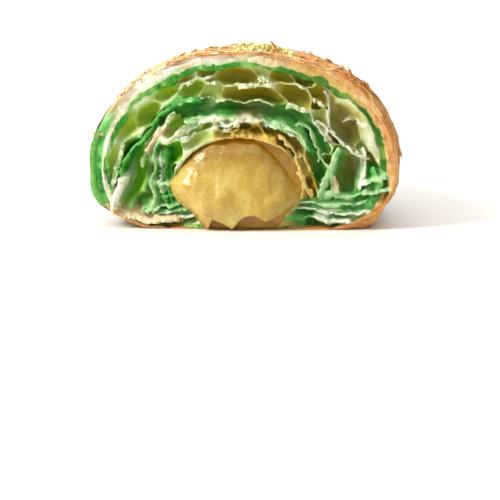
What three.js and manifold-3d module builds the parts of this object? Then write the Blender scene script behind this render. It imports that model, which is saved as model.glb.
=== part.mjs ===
// Half of a filled two-tone croissant, cut across the middle: the baked half and its cream.
// Millimetres, +Z up. The origin is on the base, the cut faces -Y and the tip bends to +X.
import * as THREE from "three";
import { mergeVertices } from "three/addons/utils/BufferGeometryUtils.js";
import Module from "manifold-3d";

const wasm = await Module();
wasm.setup();

// Driving sizes
const WIDTH = 80;
const HEIGHT = 47;
const LENGTH = 85;
const WAIST = 17;
const BEND = THREE.MathUtils.degToRad(25);
const NARROWING = 0.24;
const NARROWING_SPAN = [0.2, 0.95];
const CUT_TO_ORIGIN = 38;
const CLEARANCE = 0.35;

// Outline of the roll at the cut: rounded above its waist, squarer below it, flat where it rests
const TOP_POWER = 2.1;
const FOOT_POWER = 3;
const FOOT_DEPTH = 19;

// Bands of the outer wraps, as shares of the length counted from the cut towards the tip
const BANDS = [
  { kind: "skin", from: -0.5, to: 0.20, steps: 5 },
  { kind: "smooth", from: 0.20, to: 0.29, steps: 3 },
  { kind: "ridged", from: 0.29, to: 0.37, steps: 6 },
  { kind: "smooth", from: 0.37, to: 0.45, steps: 3 },
  { kind: "ridged", from: 0.45, to: 0.60, steps: 10 },
  { kind: "smooth", from: 0.60, to: 0.70, steps: 3 },
  { kind: "ridged", from: 0.70, to: 0.88, steps: 12 },
];
const WRAP_STEP = 1.1;
const WRAP_LOW = -0.9 * WRAP_STEP;
const WRAP_HIGH = 0.7 * WRAP_STEP;
const SKIN_HEIGHT = 0.3 * WRAP_STEP;
const RIDGE_DEPTH = 0.8;
const AROUND = 48;

// Taper of the roll towards its tip: share of the length at which it would close, and how round it is
const TAPER_END = 1.02;
const TAPER_POWER = 2.4;

// Slant of the bands: further back on the right and on top, nearer to the cut in a dip on the left
const SLANT = 0.10;
const TOP_SLANT = { size: 0.14, angle: 80, wide: 60 };
const RIGHT_SLANT = { size: 0.12, angle: 0, wide: 45 };
const LEFT_SLANT = { size: -0.17, angle: 185, wide: 32 };
const SLANT_FADES = [0.5, 0.86];
const LEFT_SLANT_FADES = [0, 0.45];

// Curled opening at the tip and the bud of the inner roll that looks out of it
const OPENING = 0.88;
const BUD_SCALE = 0.44;
const BUD_LIFT = 1.5;
const BUD_MIDDLE = 10.5;
const BUD_STEPS = 7;
const BUD_POWER = 2.6;
const BUD_WRINKLE = 0.3;
const LIP_DROP = 0.4;
const LIP_CURL = 0.006;
const LIP_WIDTH = 0.05;
const BUD_TUCK = 0.03;

// Middle of the roll and the edge of the cream's hollow, as a share of the way from it to the outline
const ROLL_MIDDLE = new THREE.Vector2(-2.4, 7.6);
const CAVITY = 0.42;

// Pockets of the crumb that open at the cut: x and z of the middle, half length, half height and depth.
// Each lies along its ring about the middle of the roll.
const POCKETS = [
  // outer ring, from left to right
  [-34.2, 16.0, 5.0, 1.3, 2.0], [-30.4, 26.8, 3.8, 1.7, 2.4], [-25.4, 29.8, 3.1, 2.1, 5.5],
  [-13.8, 36.7, 2.7, 1.6, 5.0], [-8.4, 35.6, 3.4, 2.3, 3.0], [-1.8, 39.7, 4.5, 2.0, 6.0],
  [4.7, 40.7, 2.5, 1.4, 2.4], [9.7, 39.4, 2.9, 1.4, 4.5], [15.2, 38.6, 2.6, 1.5, 4.0],
  [19.1, 34.8, 4.0, 2.1, 4.0], [25.6, 26.8, 5.2, 3.1, 7.5], [30.6, 21.4, 2.5, 1.3, 3.0],
  [32.6, 17.6, 2.2, 1.6, 4.5],
  // second ring
  [2.4, 34.6, 6.6, 2.2, 6.5], [13.1, 35.1, 4.0, 2.4, 6.5], [18.3, 32.4, 1.8, 1.3, 5.0],
  [19.9, 28.7, 2.7, 2.2, 3.0], [27.2, 15.0, 5.8, 3.5, 7.5],
  // open gap of the green sheet
  [-19.6, 29.2, 3.4, 1.6, 4.0], [-12.8, 31.4, 4.6, 1.9, 6.0], [-3.7, 31.4, 5.6, 2.1, 8.0],
  [5.0, 31.2, 5.6, 2.3, 8.0], [12.5, 29.4, 4.6, 2.3, 7.0], [18.0, 24.4, 5.2, 2.3, 6.0],
  [19.0, 16.0, 4.6, 1.5, 6.0],
  // inner ring round the cream
  [-30.0, 14.5, 7.0, 2.9, 7.5], [-17.8, 27.6, 3.4, 2.2, 4.0], [-18.9, 19.6, 3.0, 1.8, 5.0],
  [-19.8, 15.0, 2.3, 1.3, 5.0], [-12.8, 23.3, 3.8, 1.6, 2.4], [2.6, 25.4, 1.8, 0.9, 4.0],
  [6.8, 26.0, 3.0, 1.2, 4.0], [12.0, 22.0, 3.8, 2.2, 5.5], [13.1, 17.1, 1.8, 1.2, 6.0],
];
const POCKET_GROWTH = 1.1;
const POCKET_STEPS = [10, 6];

// Cream: a core that runs back through the roll and a tongue that hangs over the lower edge of the cut.
// Half widths and how far the tongue stands out are given for heights above the base.
const CORE_LENGTH = 62;
const CORE_STEPS = [24, 16];
const TONGUE_MIDDLE = -2.2;
const TONGUE_BACK = 12;
const TONGUE_TOP = 27;
const TONGUE = {
  height: [0, 2, 5, 8, 12, 16, 20, 23, 27],
  left: [8.6, 9.8, 11.6, 15, 18, 16.5, 13.5, 10, 5],
  right: [8, 11.4, 14.2, 16, 16.5, 15, 13, 10, 5],
  out: [3.6, 4.2, 4.4, 4, 3, 1.8, 0.2, -2.4, -7],
};
const TONGUE_SQUARENESS = 5;
const TONGUE_STEPS = [24, 9];

// Lower edge of the tongue: drips, and how far the edge arches up from each to the next
const DRIPS = {
  x: [-13, -10.9, -2.4, 6.5, 13.5],
  z: [5, 0.4, 1.6, 2.8, 7],
  arch: [-0.8, 1.6, 2.2, -0.6, 0],
};

// Pistachio crumbs and lifted flakes on top
const CRUMB_COUNT = 46;
const CRUMB_SIZE = [0.9, 1.9];
const CRUMB_STRETCH = [0.8, 1.2];
const CRUMB_FLATNESS = [0.6, 0.9];
const CRUMB_LIFT = 0.2;
const CRUMB_SPREAD = { along: [0.015, 0.42], angle: [62, 138] };
const FLAKES = [
  { along: 0.03, angle: 52, long: 9, wide: 5, lift: 0.35, turn: 0.5 },
  { along: 0.04, angle: 72, long: 6, wide: 3, lift: 0.6, turn: 2.2 },
  { along: 0.10, angle: 38, long: 8, wide: 4, lift: 0.3, turn: 1.2 },
  { along: 0.05, angle: 118, long: 7, wide: 4, lift: 0.35, turn: -0.4 },
  { along: 0.30, angle: 70, long: 7, wide: 4, lift: 0.3, turn: 0.2 },
  { along: 0.52, angle: 105, long: 6, wide: 3, lift: 0.35, turn: 0.9 },
];
const FLAKE_THICKNESS = 0.8;
const FLAKE_LIFT = 0.1;
const FLAKE_POINT = 0.15;

const { degToRad, euclideanModulo, lerp, smoothstep } = THREE.MathUtils;
const bendRadius = LENGTH / BEND;

// A seeded draw between 0 and 1, so that every build is the same
let seed = 20261;
function draw() {
  seed = (Math.imul(seed, 1664525) + 1013904223) >>> 0;
  return seed / 4294967296;
}
const between = (low, high) => lerp(low, high, draw());
const signedPower = (value, power) => Math.sign(value) * Math.abs(value) ** power;

// Point of the cut outline at an angle about its waist
function outline(angle) {
  const above = Math.sin(angle) >= 0;
  const power = 2 / (above ? TOP_POWER : FOOT_POWER);
  const rise = above ? HEIGHT - WAIST : FOOT_DEPTH;
  const x = (WIDTH / 2) * signedPower(Math.cos(angle), power);
  return new THREE.Vector2(x, WAIST + rise * signedPower(Math.sin(angle), power));
}

// Distance from the middle of the roll to the outline, found by stepping in on it
const outlineSpan = new Map();
function spanAt(direction) {
  const key = direction.toFixed(4);
  if (!outlineSpan.has(key)) {
    const step = new THREE.Vector2(Math.cos(direction), Math.sin(direction));
    let inside = 0;
    let outside = WIDTH;
    for (let i = 0; i < 40; i += 1) {
      const middle = (inside + outside) / 2;
      const point = ROLL_MIDDLE.clone().addScaledVector(step, middle);
      const rise = point.y >= WAIST ? HEIGHT - WAIST : FOOT_DEPTH;
      const power = point.y >= WAIST ? TOP_POWER : FOOT_POWER;
      const reach = Math.abs(point.x / (WIDTH / 2)) ** power + Math.abs((point.y - WAIST) / rise) ** power;
      if (reach < 1 && point.y > 0) {
        inside = middle;
      } else {
        outside = middle;
      }
    }
    outlineSpan.set(key, inside);
  }
  return outlineSpan.get(key);
}

// Narrows a straight roll towards its tip and bends it towards +X; along is the distance from the cut
function bendRoll(x, along, z) {
  const narrowed = x * (1 - NARROWING * smoothstep(along / LENGTH, ...NARROWING_SPAN));
  const turn = along / bendRadius;
  const radius = bendRadius - narrowed;
  return new THREE.Vector3(bendRadius - radius * Math.cos(turn), radius * Math.sin(turn) - CUT_TO_ORIGIN, z);
}

// Place in the roll from a direction about its middle, a share of the outline's span and a depth
function rollPoint(direction, share, along) {
  const span = share * spanAt(direction);
  const x = ROLL_MIDDLE.x + span * Math.cos(direction);
  return bendRoll(x, along, ROLL_MIDDLE.y + span * Math.sin(direction));
}

// Section scale of the roll without its wraps
const rollScale = (share) => Math.sqrt(1 - (Math.max(share, 0) / TAPER_END) ** TAPER_POWER);

// Height of a wrap over the plain roll: it rises over a smooth band and falls over a ridged one
function wrapHeight(band, step) {
  const across = step / band.steps;
  if (band.kind === "skin") {
    return SKIN_HEIGHT;
  }
  if (band.kind === "smooth") {
    return lerp(WRAP_LOW, WRAP_HIGH, smoothstep(across, 0, 0.5));
  }
  const ridge = step % 2 === 1 ? RIDGE_DEPTH / 2 : -RIDGE_DEPTH / 2;
  return lerp(WRAP_HIGH, WRAP_LOW, across) + ridge;
}

// Rings of the outer surface from beyond the cut to the point of the bud
function surfaceRings() {
  const rings = [];
  for (const band of BANDS) {
    for (let step = 0; step < band.steps; step += 1) {
      const place = lerp(band.from, band.to, step / band.steps);
      rings.push({ place, height: wrapHeight(band, step), base: 0 });
    }
  }
  const lip = rollScale(OPENING);
  rings.push({ place: OPENING, scale: lip, height: -LIP_DROP, base: 0 });
  rings.push({ place: OPENING + LIP_CURL, scale: lip - LIP_WIDTH, height: 0, base: BUD_LIFT });
  rings.push({ place: OPENING - BUD_TUCK, scale: BUD_SCALE + LIP_WIDTH / 2, height: 0, base: BUD_LIFT });
  for (let step = 0; step < BUD_STEPS; step += 1) {
    const across = step / BUD_STEPS;
    const scale = BUD_SCALE * Math.sqrt(1 - across ** BUD_POWER);
    const base = lerp(BUD_MIDDLE, BUD_LIFT, scale / BUD_SCALE);
    const wrinkle = step % 2 === 1 ? BUD_WRINKLE : -BUD_WRINKLE;
    rings.push({ place: lerp(OPENING - BUD_TUCK / 2, 1, across), scale, height: wrinkle, base });
  }
  return rings;
}

// Part of a slant at an angle: a bell about its own angle
function bell(slant, angle) {
  const away = euclideanModulo(angle - degToRad(slant.angle) + Math.PI, 2 * Math.PI) - Math.PI;
  return slant.size * Math.exp(-((away / degToRad(slant.wide)) ** 2));
}

// How far the bands are moved along the roll at a share of its length and an angle about its waist
function slantAt(share, angle) {
  const whole = SLANT * Math.cos(angle) + bell(TOP_SLANT, angle) + bell(RIGHT_SLANT, angle);
  const fade = 1 - smoothstep(share, ...SLANT_FADES);
  return whole * fade + bell(LEFT_SLANT, angle) * (1 - smoothstep(share, ...LEFT_SLANT_FADES));
}

// Share of the length at which a place of the slanted bands lies, found by halving
function shareAt(place, angle) {
  let low = -1;
  let high = 1;
  for (let i = 0; i < 40; i += 1) {
    const middle = (low + high) / 2;
    if (middle - slantAt(middle, angle) < place) {
      low = middle;
    } else {
      high = middle;
    }
  }
  return high;
}

// Point on the skin of the roll at a share of its length, lifted off the plain roll
function skinPoint(share, scale, angle, lift, base) {
  const plain = outline(angle);
  const x = plain.x * scale + lift * Math.cos(angle);
  const z = plain.y * scale + lift * Math.sin(angle) + base;
  return bendRoll(x, share * LENGTH, Math.max(z, 0));
}

// Point of the outer surface on a ring at an angle about the waist
function surfacePoint(ring, angle) {
  const share = ring.share ?? shareAt(ring.place, angle);
  return skinPoint(share, ring.scale ?? rollScale(share), angle, ring.height, ring.base);
}

// Volume inside a set of triangles, negative where a mirrored warp has turned its faces inwards
function signedVolume(points, corners) {
  const at = (corner) => new THREE.Vector3().fromArray(points, 3 * corner);
  let volume = 0;
  for (let i = 0; i < corners.length; i += 3) {
    const [a, b, c] = corners.slice(i, i + 3).map(at);
    volume += a.dot(b.cross(c)) / 6;
  }
  return volume;
}

// Closed solid from a geometry, its faces pointing outwards
function solidFrom(geometry) {
  const bare = geometry.clone();
  bare.deleteAttribute("normal");
  bare.deleteAttribute("uv");
  const merged = mergeVertices(bare, 1e-4);
  const corners = [];
  for (let i = 0; i < merged.index.count; i += 3) {
    const [a, b, c] = [0, 1, 2].map((k) => merged.index.getX(i + k));
    if (a !== b && b !== c && c !== a) {
      corners.push(a, b, c);
    }
  }
  const vertProperties = new Float32Array(merged.attributes.position.array);
  if (signedVolume(vertProperties, corners) < 0) {
    corners.reverse();
  }
  return new wasm.Manifold(new wasm.Mesh({ numProp: 3, vertProperties, triVerts: new Uint32Array(corners) }));
}

// Sphere whose points are moved one by one to their places
function warpedSphere(steps, place) {
  const sphere = new THREE.SphereGeometry(1, ...steps);
  const position = sphere.attributes.position;
  const point = new THREE.Vector3();
  for (let i = 0; i < position.count; i += 1) {
    point.fromBufferAttribute(position, i);
    const placed = place(point);
    position.setXYZ(i, placed.x, placed.y, placed.z);
  }
  return solidFrom(sphere);
}

// The whole roll before it is cut: a turned profile whose points are moved to the surface
function buildRoll() {
  const rings = surfaceRings();
  const start = { share: BANDS[0].from, scale: 0, height: 0, base: WAIST };
  const tip = { share: 1, scale: 0, height: 0, base: BUD_MIDDLE };
  const stations = [start, ...rings, tip];
  const profile = stations.map((ring, i) => new THREE.Vector2(ring.scale ?? 1, i));
  const lathe = new THREE.LatheGeometry(profile, AROUND);
  const position = lathe.attributes.position;
  for (let i = 0; i < position.count; i += 1) {
    const ring = stations[i % stations.length];
    const column = Math.floor(i / stations.length) % AROUND;
    const placed = surfacePoint(ring, (column / AROUND) * 2 * Math.PI);
    position.setXYZ(i, placed.x, placed.y, placed.z);
  }
  return solidFrom(lathe);
}

// Pockets of the crumb, open at the cut
function buildPockets() {
  const pockets = POCKETS.map(([x, z, long, high, deep]) => {
    const tangent = Math.atan2(z - ROLL_MIDDLE.y, x - ROLL_MIDDLE.x) + Math.PI / 2;
    return warpedSphere(POCKET_STEPS, (point) => {
      const along = POCKET_GROWTH * long * point.x;
      const across = POCKET_GROWTH * high * point.y;
      const px = x + along * Math.cos(tangent) - across * Math.sin(tangent);
      const pz = z + along * Math.sin(tangent) + across * Math.cos(tangent);
      return bendRoll(px, deep * point.z, pz);
    });
  });
  return wasm.Manifold.union(pockets);
}

// The cream's core, and with a positive margin the hollow that holds it
function buildCore(margin) {
  return warpedSphere(CORE_STEPS, (point) => {
    const across = Math.hypot(point.x, point.y);
    const direction = Math.atan2(point.y, point.x);
    const turned = direction < -Math.PI / 2 ? direction + 2 * Math.PI : direction;
    const grow = 1 + margin / (CAVITY * spanAt(turned));
    return rollPoint(turned, CAVITY * grow * across, (CORE_LENGTH + margin) * point.z);
  });
}

// Value of a table at a place between its knots
function tableAt(knots, values, place) {
  const next = knots.findIndex((knot) => knot >= place);
  if (next <= 0) {
    return next === 0 ? values[0] : values[values.length - 1];
  }
  return lerp(values[next - 1], values[next], (place - knots[next - 1]) / (knots[next] - knots[next - 1]));
}

// Height of the tongue's lower edge: it arches up from each drip to the next
function lipHeight(x) {
  const next = DRIPS.x.findIndex((drip) => drip >= x);
  if (next <= 0) {
    return next === 0 ? DRIPS.z[0] : DRIPS.z[DRIPS.z.length - 1];
  }
  const share = (x - DRIPS.x[next - 1]) / (DRIPS.x[next] - DRIPS.x[next - 1]);
  return lerp(DRIPS.z[next - 1], DRIPS.z[next], share) + DRIPS.arch[next - 1] * 4 * share * (1 - share);
}

// Tongue of cream: a block whose points are moved to its front, its sides and its lower edge
function buildTongue() {
  const block = new THREE.BoxGeometry(2, 1, 1, TONGUE_STEPS[0], 1, TONGUE_STEPS[1]);
  const position = block.attributes.position;
  for (let i = 0; i < position.count; i += 1) {
    const across = position.getX(i);
    const sideTable = across < 0 ? TONGUE.left : TONGUE.right;
    const rise = position.getZ(i) + 0.5;
    let z = rise * TONGUE_TOP;
    let x = 0;
    for (let pass = 0; pass < 6; pass += 1) {
      x = TONGUE_MIDDLE + across * tableAt(TONGUE.height, sideTable, z);
      z = lerp(lipHeight(x), TONGUE_TOP, rise);
    }
    const out = tableAt(TONGUE.height, TONGUE.out, z) * (1 - Math.abs(across) ** TONGUE_SQUARENESS);
    const y = position.getY(i) < 0 ? -out : TONGUE_BACK;
    position.setXYZ(i, x, y - CUT_TO_ORIGIN, z);
  }
  return solidFrom(block);
}

// Block that reaches past the part on every side but one, for cutting at a plane across Y
function blockBefore(y) {
  const block = new THREE.BoxGeometry(4 * WIDTH, 2 * LENGTH, 4 * HEIGHT);
  block.translate(0, y - LENGTH, 0);
  return solidFrom(block);
}

// Pistachio crumb: a small uneven stone half sunk in the skin
function buildCrumb() {
  const share = between(...CRUMB_SPREAD.along) * draw();
  const angle = degToRad(between(...CRUMB_SPREAD.angle));
  const size = between(...CRUMB_SIZE);
  const centre = skinPoint(share, rollScale(share), angle, CRUMB_LIFT * size, 0);
  centre.y = Math.max(centre.y, size - CUT_TO_ORIGIN);
  const stone = new THREE.IcosahedronGeometry(size, 0);
  stone.rotateX(draw() * Math.PI);
  stone.rotateZ(draw() * Math.PI);
  stone.scale(between(...CRUMB_STRETCH), between(...CRUMB_STRETCH), between(...CRUMB_FLATNESS));
  stone.translate(centre.x, centre.y, centre.z);
  return solidFrom(stone);
}

// Flake: a thin three-sided shard of skin, lifted at one end
function buildFlake(flake) {
  const angle = degToRad(flake.angle);
  const centre = skinPoint(flake.along, rollScale(flake.along), angle, FLAKE_LIFT, 0);
  const shard = new THREE.CylinderGeometry(FLAKE_POINT * flake.wide, 0.5 * flake.wide, flake.long, 5);
  shard.scale(1, 1, FLAKE_THICKNESS / flake.wide);
  shard.rotateX(flake.lift);
  shard.rotateZ(flake.turn);
  const outward = new THREE.Vector3(Math.cos(angle), 0, Math.sin(angle));
  const face = new THREE.Quaternion().setFromUnitVectors(new THREE.Vector3(0, 0, 1), outward);
  shard.applyQuaternion(face);
  shard.translate(centre.x, centre.y, centre.z);
  return solidFrom(shard);
}

// The largest body of a solid, without loose scraps
function largestBody(solid) {
  return solid.decompose().reduce((best, body) => (body.volume() > best.volume() ? body : best));
}

function buildHalf() {
  const toppings = Array.from({ length: CRUMB_COUNT }, buildCrumb).concat(FLAKES.map(buildFlake));
  const roll = buildRoll();
  const dressed = roll.add(wasm.Manifold.union(toppings));
  const cut = dressed.subtract(blockBefore(-CUT_TO_ORIGIN));
  return largestBody(cut.subtract(buildPockets()).subtract(buildCore(CLEARANCE)));
}

function buildCream() {
  const clearOfCut = blockBefore(-CUT_TO_ORIGIN - CLEARANCE);
  const core = buildCore(0);
  const tongue = buildTongue();
  const behind = core.subtract(blockBefore(TONGUE_BACK - 1 - CUT_TO_ORIGIN));
  return largestBody(wasm.Manifold.union([behind, core.intersect(tongue), tongue.intersect(clearOfCut)]));
}

function meshFrom(solid, name, colour, roughness) {
  const { vertProperties, triVerts } = solid.getMesh();
  const geometry = new THREE.BufferGeometry();
  geometry.setAttribute("position", new THREE.BufferAttribute(new Float32Array(vertProperties), 3));
  geometry.setIndex(new THREE.BufferAttribute(new Uint32Array(triVerts), 1));
  geometry.computeVertexNormals();
  const mesh = new THREE.Mesh(geometry, new THREE.MeshStandardMaterial({ color: colour, roughness }));
  mesh.name = name;
  return mesh;
}

const part = new THREE.Group();
part.add(meshFrom(buildHalf(), "croissant_half", 0xb8783c, 0.6));
part.add(meshFrom(buildCream(), "pistachio_cream", 0xc49a3c, 0.3));
export default part;
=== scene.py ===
import math
from functools import reduce

import bmesh
import bpy
import numpy as np
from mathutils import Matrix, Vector


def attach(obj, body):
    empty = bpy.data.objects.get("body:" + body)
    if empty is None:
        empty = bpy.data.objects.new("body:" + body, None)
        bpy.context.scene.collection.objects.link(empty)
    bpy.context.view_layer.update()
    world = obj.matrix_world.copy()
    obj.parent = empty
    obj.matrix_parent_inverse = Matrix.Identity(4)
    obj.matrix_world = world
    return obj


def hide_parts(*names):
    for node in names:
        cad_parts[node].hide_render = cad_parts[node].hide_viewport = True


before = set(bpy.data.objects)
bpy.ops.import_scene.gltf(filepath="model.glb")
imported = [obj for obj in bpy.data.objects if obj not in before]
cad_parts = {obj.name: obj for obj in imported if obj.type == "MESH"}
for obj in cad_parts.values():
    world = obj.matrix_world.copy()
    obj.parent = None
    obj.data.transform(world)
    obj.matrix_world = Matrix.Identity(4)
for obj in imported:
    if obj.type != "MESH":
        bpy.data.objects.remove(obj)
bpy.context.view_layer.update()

# Driving sizes, the same as the solid part
WIDTH = 80.0
HEIGHT = 47.0
LENGTH = 85.0
WAIST = 17.0
BEND = math.radians(25)
BEND_RADIUS = LENGTH / BEND
NARROWING = 0.24
NARROWING_SPAN = (0.2, 0.95)
CUT_TO_ORIGIN = 38.0
TOP_POWER = 2.1
FOOT_POWER = 3.0
FOOT_DEPTH = 19.0
MILLIMETRES = 1000.0

# Layers in the cut, as shares of the way from the middle of the roll to its outline
ROLL_MIDDLE = (-2.4, 7.6)
CAVITY = 0.42
INNER_SHEET = 0.58
INNER_SHEET_LEFT = 0.83
OUTER_SHEET = 0.89
SHEET_AT = 0.45

SEED = 20261
SPAN_STEPS = 2000
FAR = 1e6
TINY = 1e-6

# Large odd numbers that scramble whole-number places for the noise
HASH = (374761393, 668265263, 1442695041, 974711)
HASH_TURN = 1274126177


# Colours

def linear(red, green, blue):
    """Colour for the shaders from the 0 to 255 values of a screen."""
    screen = np.array([red, green, blue]) / 255.0
    return np.where(screen <= 0.04045, screen / 12.92, ((screen + 0.055) / 1.055) ** 2.4)


def ramp(value, low, high):
    """Smooth step from 0 at low to 1 at high."""
    share = np.clip((value - low) / (high - low), 0.0, 1.0)
    return share * share * (3.0 - 2.0 * share)


def mix(first, second, share):
    """Blend of two colours; the share may be an array with one value for each row."""
    share = np.asarray(share)
    if share.ndim:
        share = share[:, None]
    return first + (second - first) * share


def blend(first, second, share):
    """Blend of two screen colours."""
    return mix(linear(*first), linear(*second), share)


def paint(colour, *coats):
    """Lays coats over a colour, each a screen colour and how much of it shows."""
    for screen, share in coats:
        colour = mix(colour, linear(*screen), share)
    return colour


# Noise

def lattice(ix, iy, iz, seed):
    """Repeatable value from -1 to 1 at each whole-number place."""
    number = sum(place * factor for place, factor in zip((ix, iy, iz, seed), HASH))
    number = (number ^ (number >> 13)) * HASH_TURN & 0xFFFFFFFF
    number = number ^ (number >> 16)
    return (number & 0xFFFF) / 32767.5 - 1.0


def noise(x, y, z, size, seed):
    """Smooth noise from -1 to 1 whose lumps are about the given size."""
    x, y, z = np.broadcast_arrays(x / size, y / size, z / size)
    corner = [np.floor(axis).astype(np.int64) for axis in (x, y, z)]
    share = [axis - start for axis, start in zip((x, y, z), corner)]
    share = [part * part * (3.0 - 2.0 * part) for part in share]
    total = np.zeros(x.shape)
    for dx, dy, dz in np.ndindex(2, 2, 2):
        weight = (share[0] if dx else 1 - share[0]) * (share[1] if dy else 1 - share[1])
        weight = weight * (share[2] if dz else 1 - share[2])
        total += weight * lattice(corner[0] + dx, corner[1] + dy, corner[2] + dz, seed)
    return total


def axis_weights(values, size):
    """Whole-number places along one axis and how much of each a value takes."""
    place = values / size
    start = np.floor(place).astype(np.int64)
    share = place - start
    share = share * share * (3.0 - 2.0 * share)
    cells = np.arange(start.min(), start.max() + 2)
    weights = np.zeros((len(values), len(cells)), dtype=np.float32)
    row = np.arange(len(values))
    weights[row, start - cells[0]] = 1 - share
    weights[row, start - cells[0] + 1] = share
    return cells, weights


def grid_noise(xs, ys, zs, size, seed):
    """The same smooth noise on a whole grid at once, from the places along its axes."""
    (cx, wx), (cy, wy), (cz, wz) = (axis_weights(axis, size) for axis in (xs, ys, zs))
    values = lattice(cx[:, None, None], cy[None, :, None], cz[None, None, :], seed).astype(np.float32)
    return np.einsum("ia,jb,kc,abc->ijk", wx, wy, wz, values, optimize=True)


def lumps(waves, x, y, z, base=0.0, field=noise):
    """Adds noises to a base: height, size and seed of each wave."""
    for height, size, seed in waves:
        base = base + height * field(x, y, z, size, seed)
    return base


# Shape of the roll

def outline(angle):
    """Outline of the cut at an angle about its waist."""
    cosine = np.cos(angle)
    sine = np.sin(angle)
    power = 2.0 / np.where(sine >= 0, TOP_POWER, FOOT_POWER)
    rise = np.where(sine >= 0, HEIGHT - WAIST, FOOT_DEPTH)
    x = WIDTH / 2 * np.sign(cosine) * np.abs(cosine) ** power
    z = WAIST + rise * np.sign(sine) * np.abs(sine) ** power
    return x, z


def make_span_table():
    """Distance from the middle of the roll to its outline for each direction."""
    angle = np.linspace(0, 2 * math.pi, SPAN_STEPS, endpoint=False)
    x, z = outline(angle)
    x = x - ROLL_MIDDLE[0]
    z = np.maximum(z, 0.0) - ROLL_MIDDLE[1]
    direction = np.arctan2(z, x)
    order = np.argsort(direction)
    return direction[order], np.hypot(x, z)[order]


SPAN_DIRECTIONS, SPANS = make_span_table()


def span_at(direction):
    """Distance from the middle of the roll to its outline in a direction."""
    return np.interp(direction, SPAN_DIRECTIONS, SPANS, period=2 * math.pi)


def polar_place(x, z):
    """Turn about the middle of the roll, distance from it and share of the span to the outline."""
    dx = x - ROLL_MIDDLE[0]
    dz = z - ROLL_MIDDLE[1]
    turn = np.arctan2(dz, dx)
    turn = np.where(turn < -math.pi / 2, turn + 2 * math.pi, turn)
    distance = np.hypot(dx, dz)
    return turn, distance, distance / span_at(turn)


def grid_places(xs, ys, zs):
    """Places of a grid, each with its turn, share and span about the middle of the roll."""
    flat_x, flat_z = np.meshgrid(xs, zs, indexing="ij")
    turn, distance, share = (flat.astype(xs.dtype)[:, None, :] for flat in polar_place(flat_x, flat_z))
    span = distance / np.maximum(share, TINY)
    return *np.ix_(xs, ys, zs), turn, share, span


def bend_roll(x, y, z):
    """Narrows the straight roll towards its tip, bends it towards +X and moves it to the part's frame."""
    narrowed = x * (1 - NARROWING * ramp(y / LENGTH, *NARROWING_SPAN))
    turn = y / BEND_RADIUS
    radius = BEND_RADIUS - narrowed
    return np.stack([BEND_RADIUS - radius * np.cos(turn), radius * np.sin(turn) - CUT_TO_ORIGIN, z], axis=-1)


# Meshes

def make_piece(name, points, faces, node, material, tint, rough, smooth=True):
    """Mesh piece from points in part millimetres and blocks of faces, with its colours."""
    mesh = bpy.data.meshes.new(name)
    corners = np.concatenate([block.ravel() for block in faces])
    sides = np.concatenate([np.full(len(block), block.shape[1]) for block in faces])
    mesh.vertices.add(len(points))
    mesh.vertices.foreach_set("co", (points / MILLIMETRES).astype(np.float32).ravel())
    mesh.loops.add(len(corners))
    mesh.loops.foreach_set("vertex_index", corners.astype(np.int32))
    mesh.polygons.add(len(sides))
    mesh.polygons.foreach_set("loop_start", (np.cumsum(sides) - sides).astype(np.int32))
    mesh.polygons.foreach_set("use_smooth", np.full(len(sides), smooth))
    colour = mesh.attributes.new("tint", "FLOAT_COLOR", "POINT")
    rgba = np.ones((len(points), 4), dtype=np.float32)
    rgba[:, :3] = tint
    colour.data.foreach_set("color", rgba.ravel())
    value = mesh.attributes.new("rough", "FLOAT", "POINT")
    value.data.foreach_set("value", np.broadcast_to(rough, len(points)).astype(np.float32))
    mesh.update(calc_edges=True)
    mesh.materials.append(material)
    piece = bpy.data.objects.new(name, mesh)
    bpy.context.scene.collection.objects.link(piece)
    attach(piece, "root")
    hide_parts(node)
    return piece


def thin_out(piece, weights, ratio):
    """Joins small faces of a piece, mostly where the weights are high."""
    group = piece.vertex_groups.new(name="hidden")
    levels = np.round(weights, 1)
    for level in np.unique(levels):
        group.add(np.flatnonzero(levels == level).tolist(), float(level), "REPLACE")
    modifier = piece.modifiers.new("thin_out", "DECIMATE")
    modifier.ratio = ratio
    modifier.vertex_group = group.name
    bpy.context.view_layer.objects.active = piece
    bpy.ops.object.modifier_apply(modifier=modifier.name)
    piece.vertex_groups.clear()


def ring_strip(first, second, columns):
    """Faces between two rings of points that start at the given numbers."""
    column = np.arange(columns)
    after = (column + 1) % columns
    return np.stack([first + column, first + after, second + after, second + column], axis=-1)


def ring_fan(first, middle, columns):
    """Triangles from a ring of points to one point."""
    column = np.arange(columns)
    return np.stack([first + column, first + (column + 1) % columns, np.full(columns, middle)], axis=-1)


def grid_faces(rows, columns, start=0):
    """Four-sided faces of a grid whose columns close into rings."""
    rings = start + columns * np.arange(rows)
    return np.concatenate([ring_strip(ring, ring + columns, columns) for ring in rings[:-1]])


def grid_part(axis, part, rest=slice(None)):
    """Index of a block of a grid: a part along one axis and the rest along the others."""
    return tuple(part if other == axis else rest for other in range(3))


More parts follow.
